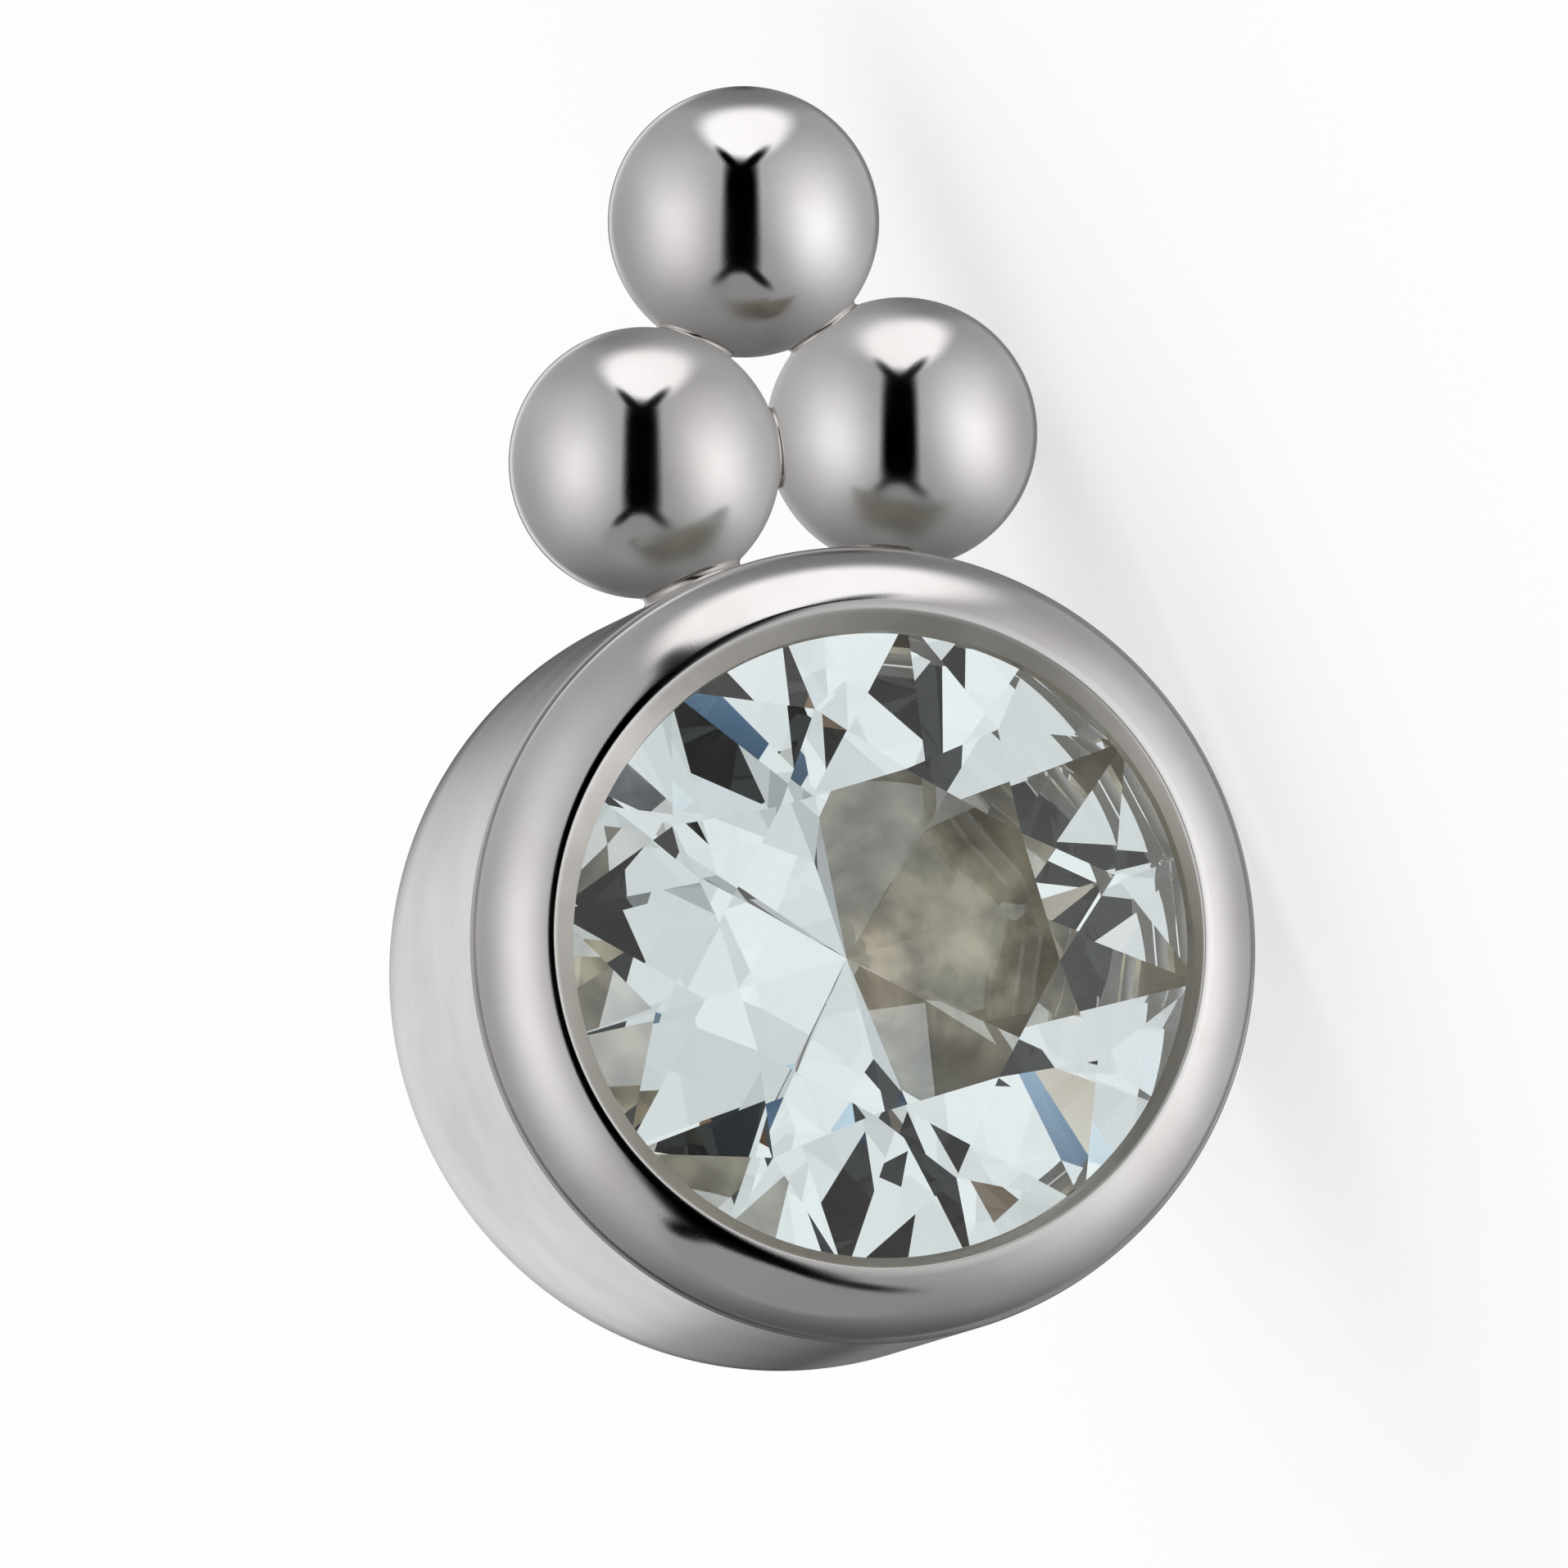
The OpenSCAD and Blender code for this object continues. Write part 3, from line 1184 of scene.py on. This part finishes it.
    def _collar(self) -> Shell:
        """Collar between the lower two beads: a rolling ball's hollow, turned about their line.

        Returns:
            The closed collar, in the triangle's own frame.
        """
        ball = self.radius + self.fillet
        out = math.sqrt(ball**2 - self.half_space**2)
        touch = math.atan2(self.half_space, out)
        bottom = -self.ring_radius / 2
        end = self.half_space * self.collar_end
        skin = Shell((-end, bottom, 0.0), (end, bottom, 0.0))
        for tilt in np.linspace(-touch, touch, 2 * self.steps + 1):
            radius = out - self.fillet * math.cos(tilt)
            along = self.fillet * math.sin(tilt)
            ring = circle(radius, along, self.around)
            skin.add(np.stack([ring[:, 2], bottom + ring[:, 0], ring[:, 1]], axis=1))
        return skin

    def _foot(self, side: int) -> Shell:
        """Solder foot under a lower bead: a ball rolled along the joint of bead and drum.

        Args:
            side: -1 for the left bead, 1 for the right one.

        Returns:
            The closed foot, in the drum's frame.
        """
        lean = side * self.lean
        out = np.array([math.sin(lean), math.cos(lean), 0.0])
        across = np.array([math.cos(lean), -math.sin(lean), 0.0])
        up = np.array([0.0, 0.0, 1.0])
        middle = self.reach * out + self.height * up
        angle = np.arange(self.around) * FULL_TURN / self.around
        wall, ball = self.drum.radius + self.drum_fillet, self.radius + self.drum_fillet
        spread = np.full(self.around, self.radius / 2)
        for _ in range(self.rolling_rounds):
            depth = np.sqrt(wall**2 - np.square(spread * np.cos(angle)))
            spread = np.sqrt(np.maximum(ball**2 - np.square(depth - self.reach), 0))
        centres = (
            depth[:, None] * out
            + (spread * np.cos(angle))[:, None] * across
            + self.height * up
            + (spread * np.sin(angle))[:, None] * up
        )
        to_drum = -centres * (1, 1, 0) / wall
        to_bead = (middle - centres) / ball
        opening = np.arccos(np.clip((to_drum * to_bead).sum(axis=1), -1, 1))[:, None]
        deep = self.foot_depth * self.radius
        skin = Shell(out * (self.drum.radius - 2 * deep) + self.height * up, middle)
        skin.add(centres + to_drum * (self.drum_fillet + deep))
        for share in np.linspace(0, 1, self.steps + 1):
            way = (
                np.sin((1 - share) * opening) * to_drum + np.sin(share * opening) * to_bead
            ) / np.sin(opening)
            skin.add(centres + way * self.drum_fillet)
        skin.add(centres + to_bead * (self.drum_fillet + deep))
        return skin


@dataclass
class Pin:
    """Threaded pin: hidden root, short thread, plain neck, collar, long thread and round tip."""

    radius: float = 0.6
    length: float = 2.7
    pitch: float = 0.25
    root_length: float = 0.8
    root_radius: float = 0.42
    tip_round: float = 0.33
    gap: float = 0.025
    # Shares of the length at which neck and collar start, from the flat back
    neck_share: float = 0.17
    collar_share: float = 0.46
    # Shares of the pitch: the collar's width, a chamfer, half the ridge's foot, and the depth
    # that a metric thread has
    collar_pitches: float = 0.3
    chamfer_pitches: float = 0.08
    ridge_pitches: float = 0.42
    depth_pitches: float = 0.6134
    # Share of half the ridge's foot that its flat crest is wide
    crest_share: float = 0.36
    # Shares of the radius: the plain neck, the nib in the tip and the groove round it
    neck_radius: float = 0.975
    nib_radius: float = 0.24
    groove_width: float = 0.14
    # Length without thread at the tip, in its own roundings
    plain_tip: float = 1.2
    tip_steps: int = 12
    around: int = 128
    sharp_angle: float = 28.0

    @property
    def core(self) -> float:
        """Radius at the thread's root."""
        return self.radius - self.pitch * self.depth_pitches

    @property
    def neck_start(self) -> float:
        """Distance from the flat back to the plain neck."""
        return self.length * self.neck_share

    @property
    def collar_start(self) -> float:
        """Distance from the flat back to the collar."""
        return self.length * self.collar_share

    @property
    def collar_end(self) -> float:
        """Distance from the flat back to the collar's far side."""
        return self.collar_start + self.pitch * self.collar_pitches

    @property
    def thread_end(self) -> float:
        """Distance from the flat back to the end of the thread."""
        return self.length - self.tip_round * self.plain_tip

    def _profile(self) -> list[Point3]:
        """Draw the core's profile, from the root to the tip.

        Returns:
            Radius, height and rub of each ring; the rub also paints a lighter edge highlight.
        """
        neck = self.radius * self.neck_radius
        chamfer = self.pitch * self.chamfer_pitches
        nib, groove = self.radius * self.nib_radius, self.radius * self.groove_width
        # Third number: rub, lighter on chamfers, collar and tip as a painted highlight
        plain = [
            (self.root_radius - chamfer, self.root_length, 0.0),
            (self.root_radius, self.root_length - chamfer, 0.0),
            (self.root_radius, -self.gap, 0.0),
            (self.core, -self.gap, 0.0),
            (self.core, -self.neck_start, 0.0),
            (neck - chamfer, -self.neck_start, 0.3),
            (neck, -self.neck_start - chamfer, 0.3),
            (neck, -self.collar_start, 0.0),
            (self.radius - chamfer, -self.collar_start, 0.4),
            (self.radius, -self.collar_start - chamfer, 1.0),
            (self.radius, -self.collar_end + chamfer, 1.0),
            (self.radius - chamfer, -self.collar_end, 0.6),
            (self.core, -self.collar_end, 0.0),
            (self.core, -self.thread_end, 0.0),
            (self.radius - chamfer, -self.thread_end, 0.5),
        ]
        tip = arc(
            (self.radius - self.tip_round, self.tip_round - self.length),
            (self.tip_round, self.tip_round), 0, -90, self.tip_steps,
        )
        end = [
            (nib + groove, -self.length, 0.5),
            (nib + groove * 0.7, -self.length + groove * 0.5, 0.0),
            (nib + groove * 0.3, -self.length + groove * 0.5, 0.0),
            (nib, -self.length, 0.8),
        ]
        return plain + [(r, z, 0.4) for r, z in tip[:-1]] + end

    def build(self) -> Object:
        """Turn the core and wind both threads on it.

        Returns:
            The pin as one piece.
        """
        skin = Shell((0.0, 0.0, self.root_length), (0.0, 0.0, -self.length))
        for radius, height, rub_highlight in self._profile():
            skin.add(circle(radius, height, self.around), rub_highlight=rub_highlight)
        finish = MACHINED.material()
        ridge = self.pitch * self.ridge_pitches
        thread = Thread(
            foot=self.core - self.gap, crest=self.radius, pitch=self.pitch, foot_width=2 * ridge,
            crest_width=self.crest_share * ridge,
        )
        long_low = -self.thread_end + ridge
        long_high = -self.collar_end - ridge
        mesh = thread.wind(
            skin.mesh("threaded_pin"), long_low, (long_high - long_low) / self.pitch, finish
        )
        short_low, short_high = -self.neck_start + ridge, -self.gap - ridge
        mesh = thread.wind(mesh, short_low, (short_high - short_low) / self.pitch, finish)
        finish_mesh(mesh, self.sharp_angle)
        return new_object("turned_pin", mesh)


# Lying on the floor


@dataclass
class Lying:
    """How the top rests: on the drum's wall and the right-hand lower bead, stone facing -Y."""

    drum: Drum
    beads: Beads

    def matrix(self) -> Matrix:
        """Work out the step from the top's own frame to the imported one.

        Returns:
            The matrix, in metres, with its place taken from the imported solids.
        """
        low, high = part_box("setting")
        wall_over_bead = (self.drum.radius - self.beads.radius) / self.beads.reach
        turn = self.beads.lean + math.acos(wall_over_bead) - math.pi
        place = Vector((low.x + self.drum.radius * MM, high.y, self.drum.radius * MM))
        return (
            Matrix.Translation(place)
            @ Matrix.Rotation(math.pi / 2, 4, "X")
            @ Matrix.Rotation(turn, 4, "Z")
            @ Matrix.Scale(MM, 4)
        )

    def hand_over(self, piece: Object, slot: Slot, *nodes: str) -> None:
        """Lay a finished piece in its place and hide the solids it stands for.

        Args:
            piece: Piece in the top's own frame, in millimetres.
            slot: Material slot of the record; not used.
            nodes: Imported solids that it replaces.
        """
        piece.data.transform(self.matrix())
        piece.data.update()
        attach(piece, "root")
        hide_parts(*nodes)
        triangles = sum(len(p.vertices) - 2 for p in piece.data.polygons)
        LOG.info("%s: %d triangles", piece.name, triangles)


# Camera and studio


@dataclass
class PhotoCamera:
    """Long-lens camera at the photograph's angle to the piece, a little above the floor."""

    laid: Matrix
    # Width of the photograph and focal length, in its pixels
    frame_px: float = 1914.0
    focal_px: float = 28708.0
    # Distance and aim, right and up, from the top's own origin, in millimetres
    distance: float = 150.0
    aim: Point2 = (-0.0627, -1.2503)
    yaw: float = 11.4
    pitch: float = -3.31
    roll: float = 7.48
    sensor: float = 36.0
    # Nearest and furthest distance that it sees, in metres
    clip: Point2 = (0.01, 10.0)

    def turn(self) -> Matrix:
        """Turn from the top's own frame to the picture's right, up and towards the camera."""
        return (
            Matrix.Rotation(math.radians(self.roll), 3, "Z")
            @ Matrix.Rotation(math.radians(self.pitch), 3, "X")
            @ Matrix.Rotation(math.radians(self.yaw), 3, "Y")
        )

    def axes(self) -> tuple[Vector, Vector, Vector]:
        """Work out the picture's directions in the room.

        Returns:
            Right, up and towards the camera.
        """
        laid = self.laid.to_3x3().normalized()
        right, up, back = (laid @ row for row in self.turn())
        return right.normalized(), up.normalized(), back.normalized()

    def build(self) -> Object:
        """Set up the camera and make it the scene's own.

        Returns:
            The camera.
        """
        lens = bpy.data.cameras.new("photo camera")
        lens.sensor_width = self.sensor
        lens.lens = self.focal_px / self.frame_px * self.sensor
        lens.clip_start, lens.clip_end = self.clip
        seen = Vector((-self.aim[0], -self.aim[1], self.distance))
        stand = self.laid @ (self.turn().transposed() @ seen)
        right, up, back = self.axes()
        pose = Matrix((right, up, back)).transposed().to_4x4()
        pose.translation = stand
        camera = bpy.data.objects.new("photo camera", lens)
        camera.matrix_world = pose
        bpy.context.scene.collection.objects.link(camera)
        bpy.context.scene.camera = camera
        return camera


@dataclass(frozen=True)
class Card:
    """One soft studio card, light or black, as a polished ball shows it to the camera.

    Places and sizes are shares of the ball's radius, right and up; level is brightness as seen.
    A card of square two is an ellipse, and a higher one is boxier. Soft is the share of it that
    fades to its edge, and taper is how much its top is wider than its middle.
    """

    name: str
    place: Point2
    half: Point2
    level: float
    turn: float = 0.0
    taper: float = 0.0
    square: float = 2.0
    soft: float = 0.5


@dataclass
class Studio:
    """Plain pale floor in a soft studio of light and black cards."""

    camera: PhotoCamera
    # Strength of the metal's room
    gain: float = 1.36
    floor_size: float = 0.6
    floor_colour: str = "#F2F1F0"
    floor_glow: float = 0.5
    floor_roughness: float = 0.9
    # Strength of the plain white room that lights the floor and shows behind it
    room_level: float = 0.62
    # Strength and tint of the crystal's room
    crystal_gain: float = 1.06
    crystal_tint: str = "#F1F7F6"
    # Spread of red, green and blue that the glass adds at a card's edge
    fire: float = 0.0009
    # Brightness of the walls from the floor of the ball to its top, behind all cards
    walls: tuple[Point2, ...] = (
        (-1.0, 0.29), (-0.9, 0.355), (-0.82, 0.43), (-0.74, 0.505), (-0.6, 0.56), (-0.4, 0.6),
        (0.0, 0.63), (0.45, 0.66), (0.8, 0.6), (0.9, 0.48), (1.0, 0.42),
    )
    # How far the ball's skin faces the camera where the cards begin and where they are full
    rim: Point2 = (0.18, 0.3)
    # Brightness straight behind the piece, by how far the ball's skin still faces the camera
    behind: tuple[Point2, ...] = (
        (0.0, 0.5), (0.03, 0.22), (0.064, 0.34), (0.083, 0.43), (0.108, 0.52), (0.125, 0.65),
        (0.16, 0.78), (0.19, 0.82),
    )
    # Bounds of that brightness from left to right: the light wall stands on the left
    behind_most: tuple[Point2, ...] = ((-0.5, 0.9), (-0.3, 0.55), (0.0, 0.3), (0.2, 0.46))
    behind_least: tuple[Point2, ...] = ((-0.1, 0.14), (0.1, 0.42))
    cards: tuple[Card, ...] = (
        Card("left softbox", (-0.5, -0.03), (0.42, 0.72), 0.93, turn=4, square=2.2, soft=1.0),
        Card("right softbox", (0.55, -0.02), (0.45, 0.78), 0.985, turn=11, square=2.2, soft=1.0),
        Card("camera flag", (-0.017, 0.02), (0.163, 0.62), 0.02, taper=-0.1, square=5, soft=0.5),
        Card("table", (-0.03, -0.58), (0.3, 0.22), 0.55, soft=0.22),
        Card("top light", (0.02, 0.64), (0.385, 0.24), 1, turn=3, taper=0.4, square=2.2, soft=0.4),
        Card("flag's lower left", (-0.15, -0.4), (0.045, 0.14), 0.02, turn=-50, soft=0.8),
        Card("flag's lower right", (0.10, -0.41), (0.05, 0.19), 0.02, turn=50, soft=0.8),
        Card("flag's upper left", (-0.11, 0.45), (0.045, 0.17), 0.02, turn=45, soft=0.8),
        Card("flag's upper right", (0.08, 0.45), (0.05, 0.19), 0.02, turn=-48, soft=0.8),
    )
    # Narrowest share of its width that a tapered card comes down to
    narrowest: float = 0.02
    crystal_walls: tuple[Point2, ...] = ((-0.4, 0.66), (-0.12, 0.84), (0.05, 0.97), (0.4, 0.8))
    crystal_cards: tuple[Card, ...] = (
        Card("camera", (0.0, 0.1), (0.055, 0.22), 0.17, square=3, soft=0.2),
        Card("tripod head", (-0.12, 0.22), (0.08, 0.07), 0.25, square=3, soft=0.2),
        Card("grey reflector", (0.13, 0.02), (0.06, 0.12), 0.86, square=3, soft=0.2),
    )

    def build_floor(self) -> Object:
        """Lay the floor: a broad sheet of pale board, hidden from mirrors and glass.

        Returns:
            The floor.
        """
        half = self.floor_size / 2
        corners = [(-half, -half, 0), (half, -half, 0), (half, half, 0), (-half, half, 0)]
        mesh = bpy.data.meshes.new("floor")
        mesh.from_pydata(corners, [], [(0, 1, 2, 3)])
        board = bpy.data.materials.new("pale matt board")
        board.use_nodes = True
        shader = board.node_tree.nodes["Principled BSDF"]
        shader.inputs["Base Color"].default_value = linear(self.floor_colour)
        shader.inputs["Roughness"].default_value = self.floor_roughness
        shader.inputs["Specular IOR Level"].default_value = 0.0
        shader.inputs["Emission Color"].default_value = linear(self.floor_colour)
        shader.inputs["Emission Strength"].default_value = self.floor_glow
        mesh.materials.append(board)
        floor = new_object("floor", mesh)
        floor.visible_glossy = False
        floor.visible_transmission = False
        return floor

    def build_room(self) -> World:
        """Paint the cards on the room's walls, as directions about the camera's own.

        Returns:
            The world: plain white to eye and floor, with one set of cards for each material.
        """
        world = bpy.data.worlds.new("studio")
        tree = clear_nodes(world)
        way = add_node(tree, "ShaderNodeTexCoord").outputs["Generated"]
        right, up, back = self.camera.axes()
        between = add_node(tree, "ShaderNodeVectorMath", {0: way, 1: tuple(back)}, operation="ADD")
        facing = add_node(
            tree, "ShaderNodeVectorMath", {0: between.outputs[0]}, operation="NORMALIZE"
        )
        across, along, depth = (
            add_node(
                tree,
                "ShaderNodeVectorMath",
                {0: facing.outputs[0], 1: tuple(axis)},
                operation="DOT_PRODUCT",
            ).outputs["Value"]
            for axis in (right, up, back)
        )
        metal, crystal, plain = (
            add_node(tree, "ShaderNodeBackground", {"Color": colour, "Strength": strength})
            for colour, strength in (
                (self._metal_light(tree, across, along, depth), self.gain),
                (self._crystal_light(tree, across, along), self.crystal_gain),
                ((1.0, 1.0, 1.0, 1.0), self.room_level),
            )
        )
        ray = add_node(tree, "ShaderNodeLightPath").outputs
        matt = add_node(
            tree, "ShaderNodeMath", {0: ray["Is Diffuse Ray"], 1: ray["Is Camera Ray"]},
            operation="MAXIMUM",
        )
        shown = metal.outputs[0]
        for share, other in ((ray["Is Transmission Ray"], crystal), (matt.outputs[0], plain)):
            shown = add_node(
                tree, "ShaderNodeMixShader", {0: share, 1: shown, 2: other.outputs[0]}
            ).outputs[0]
        add_node(tree, "ShaderNodeOutputWorld", {"Surface": shown})
        world.cycles.sampling_method = "NONE"
        bpy.context.scene.world = world
        return world

    def _metal_light(self, tree: NodeTree, across: Any, along: Any, depth: Any) -> NodeSocket:
        """Paint what the polished metal mirrors.

        Args:
            tree: Node tree of the world.
            across: Socket of the place to the right on the ball.
            along: Socket of the place upwards on the ball.
            depth: Socket of how far the ball's skin faces the camera.

        Returns:
            Socket of the light.
        """
        level = self._ramp(tree, along, self.walls)
        for card in self.cards:
            level = self._card(tree, card, across, along, level)
        rim = add_node(
            tree, "ShaderNodeMapRange",
            {"Value": depth, "From Min": self.rim[0], "From Max": self.rim[1]},
            interpolation_type="SMOOTHSTEP",
        )
        behind = self._ramp(tree, depth, self.behind)
        for operation, stops in (("MINIMUM", self.behind_most), ("MAXIMUM", self.behind_least)):
            bound = self._ramp(tree, across, stops)
            behind = add_node(
                tree, "ShaderNodeMath", {0: behind, 1: bound}, operation=operation
            ).outputs[0]
        level = add_node(tree, "ShaderNodeMix", {0: rim.outputs["Result"], 2: behind, 3: level})
        light = add_node(
            tree, "ShaderNodeMath", {0: level.outputs[0], 1: DISPLAY_POWER}, operation="POWER"
        )
        return light.outputs[0]

    def _crystal_light(self, tree: NodeTree, across: Any, along: Any) -> NodeSocket:
        """Paint what the crystal shows, in three colours that lie a little apart.

        Args:
            tree: Node tree of the world.
            across: Socket of the place to the right on the ball.
            along: Socket of the place upwards on the ball.

        Returns:
            Socket of the light's colour.
        """
        channels = {}
        for name, shift in (("Red", self.fire), ("Green", 0.0), ("Blue", -self.fire)):
            level = self._ramp(tree, along, self.crystal_walls)
            for card in self.crystal_cards:
                moved = replace(card, place=(card.place[0] + shift, card.place[1] + shift))
                level = self._card(tree, moved, across, along, level)
            channels[name] = add_node(
                tree, "ShaderNodeMath", {0: level, 1: DISPLAY_POWER}, operation="POWER"
            ).outputs[0]
        sparkle = add_node(tree, "ShaderNodeCombineColor", channels)
        cool = add_node(
            tree, "ShaderNodeMix",
            {"Factor": 1.0, 6: sparkle.outputs[0], 7: linear(self.crystal_tint)}, data_type="RGBA",
            blend_type="MULTIPLY",
        )
        return cool.outputs[2]

    @staticmethod
    def _ramp(tree: NodeTree, value: Any, stops: Sequence[Point2]) -> Any:
        """Turn a value into a brightness through straight steps between stops.

        Args:
            tree: Node tree of the world.
            value: Socket of the value.
            stops: Value and brightness at each stop, in rising order.

        Returns:
            Socket of the brightness.
        """
        total = None
        for (x0, y0), (x1, y1) in zip(stops, stops[1:]):
            low, high = (y0, y1) if total is None else (0.0, y1 - y0)
            part = add_node(
                tree, "ShaderNodeMapRange",
                {"Value": value, "From Min": x0, "From Max": x1, "To Min": low, "To Max": high},
            ).outputs["Result"]
            total = part if total is None else add_node(
                tree, "ShaderNodeMath", {0: total, 1: part}, operation="ADD"
            ).outputs[0]
        return total

    def _card(self, tree: NodeTree, card: Card, across: Any, along: Any, under: Any) -> Any:
        """Lay one card over what is painted so far.

        Args:
            tree: Node tree of the world.
            card: Card to paint.
            across: Socket of the place to the right on the ball.
            along: Socket of the place upwards on the ball.
            under: Socket of the brightness under the card.

        Returns:
            Socket of the brightness with the card.
        """
        place = add_node(tree, "ShaderNodeCombineXYZ", {0: across, 1: along})
        local = add_node(
            tree, "ShaderNodeMapping",
            {
                "Vector": place.outputs[0], "Location": (*card.place, 0.0),
                "Rotation": (0.0, 0.0, math.radians(card.turn)), "Scale": (*card.half, 1.0),
            },
            vector_type="TEXTURE",
        )
        right, up = add_node(tree, "ShaderNodeSeparateXYZ", {0: local.outputs[0]}).outputs[:2]
        width = add_node(
            tree, "ShaderNodeMath", {0: up, 1: card.taper, 2: 1.0}, operation="MULTIPLY_ADD"
        )
        safe = add_node(
            tree, "ShaderNodeMath", {0: width.outputs[0], 1: self.narrowest}, operation="MAXIMUM"
        )
        narrowed = add_node(
            tree, "ShaderNodeMath", {0: right, 1: safe.outputs[0]}, operation="DIVIDE"
        )
        total = None
        for side in (narrowed.outputs[0], up):
            size = add_node(tree, "ShaderNodeMath", {0: side}, operation="ABSOLUTE")
            raised = add_node(
                tree, "ShaderNodeMath", {0: size.outputs[0], 1: card.square}, operation="POWER"
            ).outputs[0]
            total = raised if total is None else add_node(
                tree, "ShaderNodeMath", {0: total, 1: raised}, operation="ADD"
            ).outputs[0]
        reach = add_node(tree, "ShaderNodeMath", {0: total, 1: 1 / card.square}, operation="POWER")
        share = add_node(
            tree, "ShaderNodeMapRange",
            {
                "Value": reach.outputs[0], "From Min": 1 - card.soft, "From Max": 1.0,
                "To Min": 1.0, "To Max": 0.0,
            },
            interpolation_type="SMOOTHSTEP",
        )
        laid = add_node(
            tree, "ShaderNodeMix", {0: share.outputs["Result"], 2: under, 3: card.level}
        )
        return laid.outputs[0]


def main() -> None:
    """Build the piercing top, its studio and its camera, and report each piece."""
    logging.basicConfig(level=logging.INFO, format="%(name)s: %(message)s")
    scene = bpy.context.scene
    scene.view_settings.view_transform = "Standard"
    scene.cycles.max_bounces = 32
    scene.cycles.glossy_bounces = 16
    scene.cycles.transmission_bounces = 16
    drum = Drum()
    stone = Stone(drum)
    beads = Beads(drum)
    pin = Pin()
    laid = Lying(drum, beads)
    for piece in (drum.build(stone), beads.build(), beads.build_solder()):
        laid.hand_over(piece, Slot.POLISHED, "setting")
    laid.hand_over(stone.build(), Slot.CRYSTAL, "stone")
    laid.hand_over(pin.build(), Slot.MACHINED, "threaded_pin")
    camera = PhotoCamera(laid.matrix())
    camera.build()
    studio = Studio(camera)
    studio.build_room()
    studio.build_floor()


if __name__ == "__main__":
    main()
